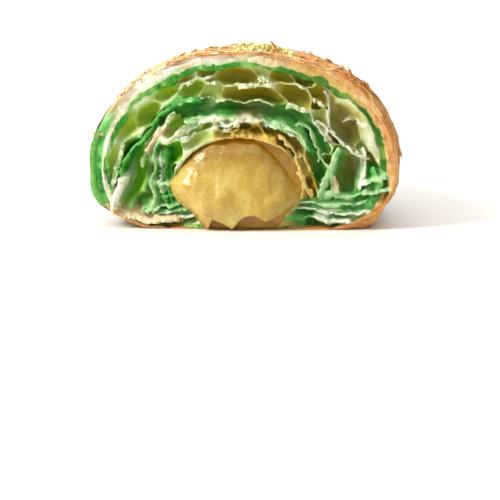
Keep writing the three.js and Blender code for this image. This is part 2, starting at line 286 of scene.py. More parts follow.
def surface_net(field, axes):
    """Closed mesh around the places where the field is positive, one point for each crossed cell."""
    field = np.pad(field, 1, constant_values=-1.0)
    inside = field > 0
    cells = tuple(size - 1 for size in field.shape)
    total = np.zeros(cells + (3,), dtype=np.float32)
    count = np.zeros(cells, dtype=np.float32)
    lower, upper, inner = slice(0, -1), slice(1, None), slice(1, -1)
    for axis in range(3):
        first = field[grid_part(axis, lower)]
        second = field[grid_part(axis, upper)]
        crossed = inside[grid_part(axis, lower)] != inside[grid_part(axis, upper)]
        place = np.where(crossed, first / np.where(crossed, first - second, 1.0), 0.0)
        near, far = (other for other in range(3) if other != axis)
        for da, db in np.ndindex(2, 2):
            window = [slice(None)] * 3
            window[near] = slice(da, da + cells[near])
            window[far] = slice(db, db + cells[far])
            hit = crossed[tuple(window)]
            count += hit
            total[..., axis] += place[tuple(window)] * hit
            total[..., near] += da * hit
            total[..., far] += db * hit
    used = count > 0
    number = np.full(cells, -1, dtype=np.int64)
    number[used] = np.arange(used.sum())
    local = np.argwhere(used) + total[used] / count[used][:, None]
    padded = [np.concatenate([[2 * a[0] - a[1]], a, [2 * a[-1] - a[-2]]]) for a in axes]
    points = np.stack([np.interp(local[:, k], np.arange(len(a)), a) for k, a in enumerate(padded)], -1)
    faces = []
    for axis in range(3):
        start = inside[grid_part(axis, lower, inner)]
        end = inside[grid_part(axis, upper, inner)]
        after, last = (axis + 1) % 3, (axis + 2) % 3
        for leaving in (True, False):
            corner = np.argwhere((start & ~end) if leaving else (~start & end))
            corner[:, [after, last]] += 1
            ring = []
            for da, db in ((0, 0), (-1, 0), (-1, -1), (0, -1)):
                place = corner.copy()
                place[:, after] += da
                place[:, last] += db
                ring.append(number[tuple(place.T)])
            quad = np.stack(ring, axis=-1)
            faces.append(quad if leaving else quad[:, ::-1])
    return points, np.concatenate(faces)


def largest_body(points, faces):
    """Keeps the connected body with the most points of a mesh."""
    label = np.arange(len(points))
    while True:
        lowest = label[faces].min(axis=1)
        after = label.copy()
        for corner in range(faces.shape[1]):
            np.minimum.at(after, faces[:, corner], lowest)
        after = after[after]
        if np.array_equal(after, label):
            break
        label = after
    names, counts = np.unique(label, return_counts=True)
    keep = label == names[np.argmax(counts)]
    number = np.cumsum(keep) - 1
    return points[keep], number[faces[keep[faces[:, 0]]]]


# Materials

def new_material(name):
    """New material, its nodes and links and its shader."""
    made = bpy.data.materials.new(name)
    made.use_nodes = True
    nodes = made.node_tree.nodes
    return made, nodes, made.node_tree.links, nodes["Principled BSDF"]


def add_node(nodes, kind, **settings):
    """New node with the named values on its sockets."""
    node = nodes.new(kind)
    for socket, value in settings.items():
        node.inputs[socket.replace("_", " ")].default_value = value
    return node


def attribute_node(nodes, name):
    """Node that reads one of a piece's attributes."""
    node = nodes.new("ShaderNodeAttribute")
    node.attribute_name = name
    return node


BUMP_DISTANCE = 0.0004
NOISE_SPAN = (0.3, 0.7)


def tinted_material(name, grain, detail, tones, bump, settings):
    """Material with the piece's tint and rough value, and fine grain from a dark to a light tone of it."""
    made, nodes, links, shader = new_material(name)
    place = nodes.new("ShaderNodeTexCoord")
    texture = add_node(nodes, "ShaderNodeTexNoise", Scale=grain, Detail=detail)
    links.new(place.outputs["Object"], texture.inputs["Vector"])
    shade = add_node(nodes, "ShaderNodeMapRange", From_Min=NOISE_SPAN[0], From_Max=NOISE_SPAN[1],
                     To_Min=tones[0], To_Max=tones[1])
    links.new(texture.outputs["Fac"], shade.inputs["Value"])
    product = nodes.new("ShaderNodeVectorMath")
    product.operation = "SCALE"
    links.new(attribute_node(nodes, "tint").outputs["Color"], product.inputs[0])
    links.new(shade.outputs["Result"], product.inputs["Scale"])
    links.new(product.outputs["Vector"], shader.inputs["Base Color"])
    links.new(attribute_node(nodes, "rough").outputs["Fac"], shader.inputs["Roughness"])
    relief = add_node(nodes, "ShaderNodeBump", Strength=bump, Distance=BUMP_DISTANCE)
    links.new(texture.outputs["Fac"], relief.inputs["Height"])
    links.new(relief.outputs["Normal"], shader.inputs["Normal"])
    for socket, value in settings.items():
        shader.inputs[socket].default_value = value
    return made


def crust_material():
    """Baked outside with a thin glaze."""
    glaze = {"Specular IOR Level": 0.3, "Coat Weight": 0.2, "Coat Roughness": 0.1}
    return tinted_material("crust", 900.0, 6.0, (0.78, 1.15), 0.22, glaze)


def crumb_material():
    """Soft crumb that lets a little light in."""
    soft = {"Specular IOR Level": 0.22, "Subsurface Weight": 0.4,
            "Subsurface Radius": (1.0, 0.9, 0.35), "Subsurface Scale": 0.0008}
    return tinted_material("crumb", 1500.0, 4.0, (0.88, 1.08), 0.25, soft)


def cream_material():
    """Glossy thick cream."""
    gloss = {"Subsurface Weight": 0.3, "Subsurface Radius": (1.0, 0.7, 0.2), "Subsurface Scale": 0.002,
             "Specular IOR Level": 0.4, "Coat Weight": 0.35, "Coat Roughness": 0.12}
    return tinted_material("cream", 1300.0, 5.0, (0.92, 1.06), 0.45, gloss)


def nut_material():
    """Dry grains of nut."""
    dry = {"Subsurface Weight": 0.2, "Subsurface Radius": (1.0, 0.9, 0.4), "Subsurface Scale": 0.001}
    return tinted_material("nut_crumbs", 1800.0, 4.0, (0.8, 1.15), 0.4, dry)


# Crust: outer surface of the roll

STATIONS = 280
AROUND = 320
ANGLE_STEPS = 4001
CLOSER_AT_DIP = 1.2
WIDER_UNDER = 0.6
UNDER_SPAN = (0.25, 0.5)
CURL_STATIONS = 12
SHELL_STATIONS = 10
SHELL = 0.022
SHELL_GROWTH = 0.10
SHELL_END = 0.80
RIM_ROUGHNESS = 0.7
TAPER_END = 1.02
TAPER_POWER = 2.4

# Bands of the outer wraps, as shares of the length from the cut to the tip, with their ridges
BANDS = [
    ("skin", -0.20, 0.20, 0),
    ("green", 0.20, 0.29, 0),
    ("brown", 0.29, 0.37, 7),
    ("green", 0.37, 0.45, 0),
    ("brown", 0.45, 0.60, 12),
    ("green", 0.60, 0.70, 0),
    ("brown", 0.70, 0.88, 15),
]
BAND_SOFT = 0.003

# Height of each kind of band: share of its width, offset from there and height in wrap steps
WRAP_PROFILE = {
    "skin": [(0.0, 0.0, 0.3), (1.0, -0.012, -0.2)],
    "green": [(0.0, -0.004, -0.9), (0.0, 0.005, 0.35), (0.5, 0.0, 0.75)],
    "brown": [(0.0, 0.0, 0.7), (1.0, -0.012, -0.8)],
}
WRAP_STEP = 1.1
RIDGE_DEPTH = 0.9
SKIN_RIDGE = 0.4
SKIN_RIDGE_STEP = 1.8

# Slant of the bands round the roll, as shares of the length
SLANT = 0.10
SLANT_FADE = (0.5, 0.86)
TOP_SLANT = 0.14
TOP_RISE = math.radians(80)
TOP_RISE_WIDTH = math.radians(60)
RIGHT_SLANT = 0.12
RIGHT_RISE_WIDTH = math.radians(45)
LEFT_SLANT = 0.17
LEFT_DIP = math.radians(185)
LEFT_DIP_WIDTH = math.radians(32)
LEFT_FADE = (0.0, 0.45)

# Thin layers of skin that step down towards the cut
TERRACES = 4.0
TERRACE_LONG = 2.6
TERRACE_HIGH = 0.42
TERRACE_EDGE = 0.12
TERRACE_AROUND = 28.0
TERRACE_STRETCH = 0.3

# Rolled end at the tip
OPENING = 0.88
BUD_STATIONS = 60
BUD_AROUND = 160
BUD_SCALE = 0.44
BUD_LIFT = 1.5
BUD_MIDDLE = 10.5
BUD_START = OPENING - 0.08
BUD_NECK = 0.15
BUD_POWER = 2.6
BUD_PLEATS = 8
BUD_TWIST = 2.6
PLEAT_HIGH = 1.6

# Unevenness: height, size and seed of each wave
CRUST_LUMPS = [(0.5, 16.0, 1), (0.22, 5.0, 2), (0.10, 2.0, 3)]
TERRACE_TEAR = [(2.4, 6.0, 4), (0.8, 1.5, 5)]
BAND_WOBBLE = [(1.5, 24.0, 11), (0.5, 8.0, 12), (0.16, 2.5, 15)]


def roll_scale(share):
    """Section scale of the roll without its wraps."""
    return np.sqrt(1 - (np.maximum(share, 0) / TAPER_END) ** TAPER_POWER)


def bell(angle, middle, wide):
    """Bell of height 1 about an angle, the same each full turn."""
    away = np.arctan2(np.sin(angle - middle), np.cos(angle - middle))
    return np.exp(-(away / wide) ** 2)


def slant_at(share, angle):
    """How far the bands are moved along the roll at a share of its length and an angle about its waist."""
    slant = SLANT * np.cos(angle) + TOP_SLANT * bell(angle, TOP_RISE, TOP_RISE_WIDTH)
    slant = slant + RIGHT_SLANT * bell(angle, 0.0, RIGHT_RISE_WIDTH)
    dip = LEFT_SLANT * bell(angle, LEFT_DIP, LEFT_DIP_WIDTH)
    return slant * (1 - ramp(share, *SLANT_FADE)) - dip * (1 - ramp(share, *LEFT_FADE))


def wrap_height(place):
    """Height of the wraps: each starts with a step at its green edge and sinks towards the next."""
    rows = [((1 - share) * start + share * end + offset, height)
            for kind, start, end, _ in BANDS for share, offset, height in WRAP_PROFILE[kind]]
    return WRAP_STEP * np.interp(place, *zip(*rows))


def tooth(across):
    """Profile of one layer: it rises slowly and drops at its edge."""
    return across ** 0.8 * (1 - ramp(across, 0.72, 1.0)) - 0.33


def layer_teeth(phase, angle, seed):
    """Edges of thin layers, some more raised than others."""
    phase = phase + 0.55 * noise(phase, 0.0, 0.0, 1.7, seed + 20)
    line = np.floor(phase)
    strength = 0.75 + 0.9 * noise(line * 5.0, angle * 9.0, 0.0, 2.0, seed)
    return tooth(phase - line) * np.maximum(strength, 0.1)


def soft_line(place, middle, half):
    """Soft line along a band at a share of the length."""
    return np.exp(-((place - middle) / half) ** 2)


def band_looks(place, angle, x, y, z):
    """How green, brown, ridged, edged and shaded each place of the wraps is."""
    looks = {name: np.zeros(place.shape) for name in ("green", "brown", "ridge", "edge", "shadow", "seam")}
    wobble = lumps(BAND_WOBBLE, x, y, z)
    torn = ramp(noise(x, y, z, 5.0, 16), -0.5, 0.4)
    for kind, start, end, ridges in BANDS:
        marks = {}
        inside = ramp(place, start - BAND_SOFT, start + BAND_SOFT)
        inside = inside * (1 - ramp(place, end - BAND_SOFT, end + BAND_SOFT))
        if kind == "green":
            marks = {"green": inside, "edge": torn * soft_line(place, start + 0.002, 0.004),
                     "shadow": soft_line(place, start - 0.010, 0.008), "seam": soft_line(place, end, 0.003)}
        elif kind == "brown":
            marks = {"brown": inside}
            phase = (place - start) / (end - start) * ridges + wobble
            looks["ridge"] = looks["ridge"] + layer_teeth(phase, angle, 13) * inside
        for name, mark in marks.items():
            looks[name] = np.maximum(looks[name], mark)
    grain = layer_teeth(place * LENGTH / SKIN_RIDGE_STEP + wobble, angle, 14)
    looks["ridge"] = looks["ridge"] + SKIN_RIDGE * grain * skin_share(looks)
    return looks


def skin_share(looks):
    """How much of a place is neither green nor brown wrap."""
    return 1 - np.maximum(looks["green"], looks["brown"])


def terraces(y, angle):
    """Thin layers of skin that end in uneven steps towards the cut."""
    place = lumps(TERRACE_TEAR, angle * TERRACE_AROUND, y * TERRACE_STRETCH, 0.0, y) / TERRACE_LONG
    step = np.floor(place)
    edge = ramp(place - step, 0.0, TERRACE_EDGE)
    return TERRACE_HIGH * (np.clip(step + edge, 0.0, TERRACES) - TERRACES)


def roll_surface(share, angle, lift=0.0):
    """Outer surface of the roll with its wraps, and what each place of it looks like."""
    plain_x, plain_z = outline(angle)
    scale = roll_scale(share)
    x = plain_x * scale
    z = plain_z * scale
    y = share * LENGTH + 0 * x
    place = share - slant_at(share, angle)
    looks = band_looks(place, angle, x, y, z)
    height = lumps(CRUST_LUMPS, x, y, z, wrap_height(place) + RIDGE_DEPTH * looks["ridge"])
    height = height + skin_share(looks) * terraces(y, angle) + lift
    foot = np.maximum(z + height * np.sin(angle), 0.0)
    return (x + height * np.cos(angle), y, foot), looks


def crust_angles():
    """Angles of the columns around the roll: close where the bands run steeply, wide apart under it."""
    fine = np.linspace(0, 2 * math.pi, ANGLE_STEPS)
    steep = bell(fine, LEFT_DIP, LEFT_DIP_WIDTH)
    under = ramp(-np.sin(fine), *UNDER_SPAN)
    weight = (1 + CLOSER_AT_DIP * steep) * (1 - WIDER_UNDER * under)
    passed = np.concatenate([[0.0], np.cumsum(weight[1:])])
    return np.interp(np.arange(AROUND) / AROUND, passed / passed[-1], fine)[None, :]


def curl_surface(plain_x, plain_z):
    """Lip of the roll that curls in round the opening at the tip."""
    steps = np.linspace(0, 1, CURL_STATIONS)[1:, None]
    lip = roll_scale(OPENING)
    turns = [0.0, 0.2, 0.45, 1.0]
    scale = np.interp(steps, turns, [lip, lip - 0.025, lip - 0.05, BUD_SCALE + 0.035])
    share = np.interp(steps, turns, [OPENING, OPENING + 0.006, OPENING, OPENING - 0.06])
    lift = np.interp(steps, turns, [0.0, 0.6, BUD_LIFT, BUD_LIFT])
    x = plain_x * scale
    return x, share * LENGTH + 0 * x, plain_z * scale + lift


def inner_surface(plain_x, plain_z):
    """Inner side of the shell, which draws in behind the cut."""
    share = np.linspace(0.0, SHELL_END, SHELL_STATIONS)[:, None]
    shell = SHELL + SHELL_GROWTH * ramp(share, 0.0, 0.1)
    scale = roll_scale(share) - shell
    x = plain_x * scale + ROLL_MIDDLE[0] * shell
    z = plain_z * scale + ROLL_MIDDLE[1] * shell
    return x, share * LENGTH + 0 * x, z


def make_crust(material):
    """Shell of the roll: outside, the lip that curls in at the tip, and the inner side behind the cut."""
    angle = crust_angles()
    plain_x, plain_z = outline(angle)
    plain_z = np.maximum(plain_z, 0.0)
    body, looks = roll_surface(np.linspace(0.0, OPENING, STATIONS)[:, None], angle)
    curl = curl_surface(plain_x, plain_z)
    outer = [np.concatenate([body[k], curl[k]]) for k in range(3)]
    rows = outer[0].shape[0]
    inner = bend_roll(*inner_surface(plain_x, plain_z))

    points = np.concatenate([bend_roll(*outer).reshape(-1, 3), inner.reshape(-1, 3)])
    inner_start = rows * AROUND
    faces = [grid_faces(rows, AROUND), grid_faces(SHELL_STATIONS, AROUND, inner_start)[:, ::-1],
             ring_strip(0, inner_start, AROUND)[:, ::-1],
             ring_strip(inner_start - AROUND, len(points) - AROUND, AROUND)]

    curled = np.ones((rows - STATIONS, AROUND))
    looks = {name: np.concatenate([field, curled * (name == "green")]) for name, field in looks.items()}
    tint, rough = crust_colours(outer, looks)
    rim = blend((214, 148, 74), (120, 186, 84), looks["green"][0])
    tint = np.concatenate([tint, np.tile(rim, (SHELL_STATIONS, 1))])
    rough = np.concatenate([rough, np.full(SHELL_STATIONS * AROUND, RIM_ROUGHNESS)])
    make_piece("crust", points, faces, "croissant_half", material, tint, rough)


def make_bud(material):
    """End of the inner roll that looks out of the opening at the tip."""
    angle = np.linspace(0, 2 * math.pi, BUD_AROUND, endpoint=False)[None, :]
    plain_x, plain_z = outline(angle)
    steps = np.linspace(0, 1, BUD_STATIONS)[:-1, None]
    across = np.clip((steps - BUD_NECK) / (1 - BUD_NECK), 0, 1)
    share = np.interp(steps, [0.0, BUD_NECK, 1.0], [BUD_START, OPENING - 0.03, 1.0])
    scale = BUD_SCALE * np.sqrt(1 - across ** BUD_POWER) * (0.9 + 0.1 * ramp(steps, 0.0, BUD_NECK))
    x = plain_x * scale
    z = plain_z * scale + BUD_MIDDLE + (BUD_LIFT - BUD_MIDDLE) * scale / BUD_SCALE
    y = share * LENGTH + 0 * x
    coil = BUD_TWIST * across + BUD_PLEATS * angle / (2 * math.pi) + 0.6 * noise(x, y, z, 6.0, 21)
    pleat = tooth(coil - np.floor(coil)) * ramp(across, 0.0, 0.3) * (1 - ramp(across, 0.85, 1.0))
    height = PLEAT_HIGH * pleat + 0.3 * noise(x, y, z, 4.0, 22) * (1 - across)
    outer = (x + height * np.cos(angle), y, np.maximum(z + height * np.sin(angle), 0.0))
    ends = bend_roll(np.zeros(2), np.array([BUD_START, 1.0]) * LENGTH, np.full(2, BUD_MIDDLE))
    points = np.concatenate([bend_roll(*outer).reshape(-1, 3), ends])
    count = len(points) - 2
    faces = [grid_faces(BUD_STATIONS - 1, BUD_AROUND), ring_fan(0, count, BUD_AROUND)[:, ::-1],
             ring_fan(count - BUD_AROUND, count + 1, BUD_AROUND)]
    brown = ramp(across, 0.0, 0.2) + 0 * x
    none = 0 * x
    looks = {"green": 1 - brown, "brown": brown, "ridge": pleat, "edge": none, "shadow": none, "seam": none}
    tint, rough = (np.concatenate([field, field[:1], field[-1:]]) for field in crust_colours(outer, looks))
    make_piece("bud", points, faces, "croissant_half", material, tint, rough)


def crust_colours(outer, looks):
    """Colour and roughness of each point of the outside."""
    x, y, z = (axis.ravel() for axis in outer)
    green, brown, ridge, edge, shadow, seam = (
        looks[name].ravel() for name in ("green", "brown", "ridge", "edge", "shadow", "seam"))
    blotch = noise(x, y, z, 7.0, 31)
    speck = noise(x, y, z, 1.1, 32)
    # Noise that places painted highlight patches on the ridge crowns
    crown_highlight = noise(x, y, z, 2.6, 33)
    skin = blend((214, 152, 78), (236, 186, 118), ramp(blotch, -0.5, 0.6))
    # Over the skin: paler at the left near the cut, darker further back, painted shade in the grooves of its
    # layers, and darker specks
    skin = paint(skin, ((236, 208, 158), 0.7 * ramp(-x, 8.0, 24.0) * (1 - ramp(y, 2.0, 9.0))),
                 ((184, 112, 40), 0.7 * ramp(y + 4.0 * blotch, 4.0, 14.0)),
                 ((134, 70, 20), ramp(-ridge, 0.0, 0.14) * (0.25 + 0.45 * ramp(y, 3.0, 10.0))),
                 ((160, 92, 34), 0.4 * ramp(speck, 0.25, 0.8)))
    # Painted light and shade on the ridges: lighter on the crowns, painted shade in the grooves between
    # them, and painted highlight patches on the crowns
    bake = blend((152, 78, 28), (188, 112, 56), ramp(ridge, 0.05, 0.4))
    bake = paint(bake, ((84, 30, 6), ramp(-ridge, 0.0, 0.3)),
                 ((116, 50, 14), 0.6 * ramp(blotch, 0.0, 0.7)),
                 ((214, 150, 98), 0.5 * ramp(crown_highlight, 0.3, 0.9) * ramp(ridge, 0.0, 0.4)))
    leaf = blend((22, 32, 10), (48, 64, 20), ramp(blotch, -0.2, 0.7))
    leaf = paint(leaf, ((14, 20, 8), 0.5 * ramp(speck, 0.3, 0.9)))
    fresh = blend((64, 130, 48), (106, 174, 84), ramp(blotch + 0.4 * speck, -0.4, 0.6))
    leaf = mix(fresh, leaf, ramp(y + 0.8 * blotch, 0.6, 2.6))
    behind = ramp(y, 2.0, 6.0)
    colour = paint(mix(mix(skin, leaf, green), bake, brown),
                   ((58, 26, 8), 0.8 * shadow * behind),
                   ((206, 184, 116), 0.8 * edge * behind),
                   ((206, 160, 108), 0.5 * seam * behind),
                   ((118, 62, 22), 0.6 * (1 - ramp(z, 0.0, 5.0))))
    rough = 0.46 - 0.24 * green - 0.12 * brown + 0.08 * speck
    return colour, np.clip(rough, 0.16, 0.9)


# Crumb: pockets between the layers of the cut

CRUMB_STEP = 0.27
CRUMB_DEPTH_STEP = 0.36
CRUMB_FRONT = -1.8
CRUMB_BACK = 10.5
CRUMB_FOOT = 0.15
CRUMB_EDGE = 0.986
CRUMB_FLOOR = 1.5
CRUMB_TRIANGLES = 196000
HIDDEN_DEPTH = (1.5, 5.0)
POCKET_GROWTH = 1.36
POCKET_MOUTH = 0.4
FILLERS = 170
RIND_LAYERS = 55.0
LIME, OLIVE, FILM, GAP, VIVID, STAINED = range(6)

# Pockets that show in the cut: kind, x and z of the middle, half length, half height, depth
POCKETS = [
    (LIME, -30.4, 26.8, 3.8, 1.7, 2.4),
    (LIME, -25.4, 29.8, 3.1, 2.1, 5.5),
    (LIME, -13.8, 36.7, 2.7, 1.6, 5.0),
    (FILM, -8.4, 35.6, 3.4, 2.3, 3.0),
    (OLIVE, -1.8, 39.7, 4.5, 2.0, 6.0),
    (FILM, 4.7, 40.7, 2.5, 1.4, 2.4),
    (OLIVE, 9.7, 39.4, 2.9, 1.4, 4.5),
    (OLIVE, 15.2, 38.6, 2.6, 1.5, 4.0),
    (OLIVE, 19.1, 34.8, 4.0, 2.1, 4.0),
    (OLIVE, 25.6, 26.8, 5.2, 3.1, 7.5),
    (FILM, 30.6, 21.4, 2.5, 1.3, 3.0),
    (OLIVE, 32.6, 17.6, 2.2, 1.6, 4.5),
    (OLIVE, 2.4, 34.6, 6.6, 2.2, 6.5),
    (OLIVE, 13.1, 35.1, 4.0, 2.4, 6.5),
    (OLIVE, 18.3, 32.4, 1.8, 1.3, 5.0),
    (FILM, 19.9, 28.7, 2.7, 2.2, 3.0),
    (OLIVE, 27.2, 15.0, 5.8, 3.5, 7.5),
    (GAP, -19.6, 29.2, 3.4, 1.6, 4.0),
    (GAP, -12.8, 31.4, 4.6, 1.9, 6.0),
    (GAP, -3.7, 31.4, 5.6, 2.1, 8.0),
    (GAP, 5.0, 31.2, 5.6, 2.3, 8.0),
    (GAP, 12.5, 29.4, 4.6, 2.3, 7.0),
    (GAP, 18.0, 24.4, 5.2, 2.3, 6.0),
    (GAP, 19.0, 16.0, 4.6, 1.5, 6.0),
    (LIME, -17.8, 27.6, 3.4, 2.2, 4.0),
    (VIVID, -30.0, 14.5, 7.0, 2.9, 7.5),
    (VIVID, -18.9, 19.6, 3.0, 1.8, 5.0),
    (GAP, -19.8, 15.0, 2.3, 1.3, 5.0),
    (FILM, -12.8, 23.3, 3.8, 1.6, 2.4),
    (LIME, -34.2, 16.0, 5.0, 1.3, 2.0),
    (STAINED, 2.6, 25.4, 1.8, 0.9, 4.0),
    (STAINED, 6.8, 26.0, 3.0, 1.2, 4.0),
    (STAINED, 12.0, 22.0, 3.8, 2.2, 5.5),
    (STAINED, 13.1, 17.1, 1.8, 1.2, 6.0),
]

# Screen colours of each kind of pocket: its edge, its floor near the cut and its deep floor. The pale edge
# is the torn film's own colour; the darker floor and deep floor are painted shade inside the pocket.
POCKET_TONES = {
    LIME: ((228, 238, 194), (198, 222, 120), (152, 186, 32)),
    OLIVE: ((228, 228, 182), (194, 192, 102), (160, 148, 4)),
    FILM: ((232, 238, 208), (206, 220, 160), (168, 188, 96)),
    GAP: ((146, 204, 120), (84, 162, 60), (60, 134, 36)),
    VIVID: ((190, 230, 140), (142, 210, 58), (116, 190, 14)),
    STAINED: ((228, 200, 108), (206, 172, 62), (130, 112, 2)),
}

# Pressed places near the foot, where layers lie close: x and z of the middle, half width, half height
PRESSED = [(33.0, 10.0, 5.0, 8.0), (24.0, 3.5, 13.0, 6.0), (-21.0, 5.0, 11.0, 5.5), (-22.5, 13.0, 4.0, 10.0)]
PRESSED_DEPTH = 2.8

# Thin layers and webs placed one by one: kind, half thickness, front, how they lean across and up with each
# millimetre of depth, then x and z of the control points of their curve
WHITE, MINT, JADE, BEIGE, IVORY, VEIL, HONEY = range(7)
LAYERS = [
    (MINT, 0.50, -0.3, (0.4, 0.0), [(23.8, 21.0), (21.4, 17.4), (21.8, 13.0), (18.6, 8.8)]),
    (MINT, 0.24, 0.4, (0.0, 0.2), [(20.0, 9.8), (23.8, 8.0), (28.5, 7.6), (32.0, 10.5)]),
    (MINT, 0.28, 0.1, (0.0, 0.3), [(13.3, 7.2), (19.9, 6.0), (26.4, 5.4), (34.5, 7.9)]),
    (WHITE, 0.26, 0.1, (0.0, 0.2), [(12.0, 5.6), (20.2, 4.6), (28.0, 3.0), (32.7, 4.2)]),
    (JADE, 0.30, 0.6, (0.0, 0.1), [(11.0, 2.6), (18.0, 2.8), (25.0, 2.2), (32.0, 2.6)]),
    (WHITE, 0.50, -0.5, (0.1, 0.2), [(18.6, 2.6), (21.6, 2.2), (23.0, 1.2), (28.2, 1.7)]),
    (JADE, 0.60, 0.2, (-0.6, 0.0), [(34.5, 16.2), (36.2, 12.6), (35.6, 10.4), (34.0, 7.6)]),
    (MINT, 0.50, -0.3, (0.0, 0.5), [(31.0, 12.0), (33.0, 13.0), (35.0, 12.4), (36.8, 14.0)]),
    (MINT, 0.50, -0.2, (0.2, 0.5), [(30.8, 8.8), (33.0, 9.6), (35.0, 9.0), (37.0, 9.8)]),
    (WHITE, 0.34, 0.3, (-0.2, 0.0), [(30.9, 21.0), (32.0, 17.5), (31.6, 14.5), (30.4, 11.0)]),
    (MINT, 0.30, 0.0, (0.3, 0.0), [(-23.0, 23.6), (-25.2, 18.0), (-23.4, 11.0), (-25.4, 4.0)]),
    (WHITE, 0.24, 0.4, (0.5, 0.0), [(-22.4, 20.0), (-22.6, 16.0), (-23.4, 12.0), (-22.0, 7.0)]),
    (JADE, 0.28, 0.2, (0.5, 0.0), [(-21.0, 20.4), (-21.4, 15.0), (-21.8, 10.0), (-19.4, 6.0)]),
    (MINT, 0.36, 0.0, (0.1, 0.6), [(-27.0, 4.0), (-22.0, 4.2), (-17.0, 5.2), (-13.6, 7.6)]),
    (JADE, 0.50, 0.3, (0.2, 0.5), [(-22.0, 7.2), (-19.0, 7.8), (-16.6, 9.2), (-14.6, 10.6)]),
    (MINT, 0.42, 0.2, (0.3, 0.5), [(-22.0, 10.8), (-19.6, 11.8), (-18.2, 11.6), (-16.4, 13.0)]),
    (MINT, 0.40, 0.3, (0.0, 0.5), [(-24.0, 2.8), (-19.0, 3.2), (-15.0, 4.0), (-11.6, 6.0)]),
    (WHITE, 0.30, 0.0, (0.0, 0.4), [(-26.0, 1.5), (-21.0, 1.8), (-16.0, 2.2), (-11.0, 3.0)]),
    (JADE, 0.42, 0.0, (0.3, 0.3), [(-32.9, 13.4), (-32.4, 20.5), (-27.5, 21.0), (-22.0, 29.5)]),
    (JADE, 0.40, 0.1, (0.3, -0.3), [(-22.0, 29.5), (-20.5, 32.0), (-17.0, 34.0), (-12.6, 34.3)]),
    (IVORY, 0.75, -1.4, (0.1, 0.1), [(-32.6, 12.4), (-34.0, 9.2), (-35.4, 6.2), (-34.8, 3.6)]),
    (IVORY, 0.40, -0.6, (0.1, 0.2), [(-31.8, 12.8), (-32.8, 10.0), (-33.8, 7.0), (-33.8, 4.4)]),
    (BEIGE, 0.80, -1.0, (0.2, 0.4), [(-35.4, 4.6), (-31.6, 2.2), (-25.4, 1.3), (-18.0, 0.9)]),
    (BEIGE, 0.50, -0.4, (0.5, 0.0), [(-26.2, 20.6), (-25.4, 22.4), (-24.0, 24.4), (-22.6, 26.4)]),
    (MINT, 0.36, 0.4, (0.0, 0.5), [(-15.0, 27.6), (-3.0, 29.4), (10.0, 28.8), (15.8, 20.6)]),
    (WHITE, 0.24, 0.2, (0.1, 0.4), [(-14.5, 24.6), (-11.0, 28.8), (-7.5, 29.0), (-4.0, 26.0)]),
    (VEIL, 0.24, 0.3, (0.0, 0.4), [(-5.0, 26.0), (-1.5, 29.8), (3.0, 29.4), (6.0, 25.8)]),
    (WHITE, 0.22, 0.3, (0.0, 0.4), [(5.0, 26.4), (8.5, 29.0), (11.5, 27.0), (14.0, 22.6)]),
    (VEIL, 0.22, 0.5, (0.0, 0.1), [(20.5, 36.0), (24.6, 33.0), (19.6, 29.0), (23.2, 25.0)]),
    (VEIL, 0.32, 0.1, (0.1, 0.0), [(18.4, 28.6), (22.4, 26.4), (25.0, 20.6), (31.8, 18.6)]),
    (VEIL, 0.18, 0.9, (0.1, 0.3), [(25.0, 27.6), (26.6, 29.0), (28.6, 28.4), (31.6, 27.0)]),
    (MINT, 0.25, 0.1, (0.3, 0.3), [(7.0, 28.0), (11.0, 27.0), (14.5, 24.6), (16.4, 20.0)]),
    (HONEY, 0.42, 0.1, (0.3, 0.1), [(9.0, 24.6), (12.6, 21.6), (13.2, 17.6), (15.2, 13.8)]),
    (HONEY, 0.50, -0.2, (0.2, 0.2), [(13.6, 15.4), (15.4, 13.4), (15.0, 10.6), (16.8, 8.6)]),
    (HONEY, 0.30, 0.2, (0.0, 0.4), [(12.8, 18.6), (14.6, 19.6), (16.2, 18.2), (17.2, 15.6)]),
    (MINT, 0.30, 0.3, (0.2, 0.3), [(13.6, 26.8), (17.0, 26.2), (18.6, 22.4), (19.4, 17.6)]),
]
LAYER_SAMPLES = 18
LAYER_DEPTH = 5.0
LAYER_REACH = 6

# Screen colours of each kind of layer: at the cut and behind it. The darker tone behind the cut is partly
# the layer's own greener colour and partly painted shade.
LAYER_TONES = {
    WHITE: ((238, 242, 222), (158, 204, 142)),
    MINT: ((190, 226, 172), (88, 174, 78)),
    JADE: ((112, 194, 100), (46, 138, 36)),
    BEIGE: ((240, 226, 192), (206, 182, 132)),
    IVORY: ((252, 250, 240), (232, 236, 210)),
    VEIL: ((224, 226, 200), (172, 170, 104)),
    HONEY: ((226, 202, 124), (150, 120, 30)),
}

# Green sheet under the rind: degrees about the middle of the roll with its share of the span, then degrees
# with its half thickness
SHEET_SHARES = ([0, 14, 36, 58, 85, 140, 170], [0.90, 0.92, 0.915, 0.89, 0.884, 0.882, 0.89])
SHEET_HALVES = ([-30, 5, 30, 60, 85, 110, 140, 165, 190], [0.25, 0.5, 0.75, 0.55, 0.45, 0.55, 0.5, 0.4, 0.2])
SHEET_LEAST = 0.05

# Unevenness: height, size and seed of each wave
POCKET_WARP = ([(0.9, 6.0, 41), (0.35, 2.0, 42)], [(0.8, 5.0, 43), (0.35, 1.8, 48)])
LAYER_WARP = ([(0.8, 4.0, 51), (0.3, 1.5, 53)], [(0.8, 3.6, 60), (0.4, 1.3, 61)])
CUT_FACE = [(0.7, 7.0, 46), (0.4, 2.2, 47)]
FILM_WAVES = [(0.12, 3.5, 44), (0.1, 0.8, 50)]
SHEET_WAVES = [(0.018, 9.0, 45), (0.012, 3.0, 52)]
SHEET_LUMPS = [(0.45, 1.7, 67), (0.2, 0.8, 50)]
RIND_TEARS = [(1.2, 6.0, 54), (0.7, 1.7, 55)]


def inner_sheet_at(turn):
    """Share of the span at which the rings of pockets change, further out at the left."""
    return INNER_SHEET + (INNER_SHEET_LEFT - INNER_SHEET) * ramp(turn, math.radians(110), math.radians(185))


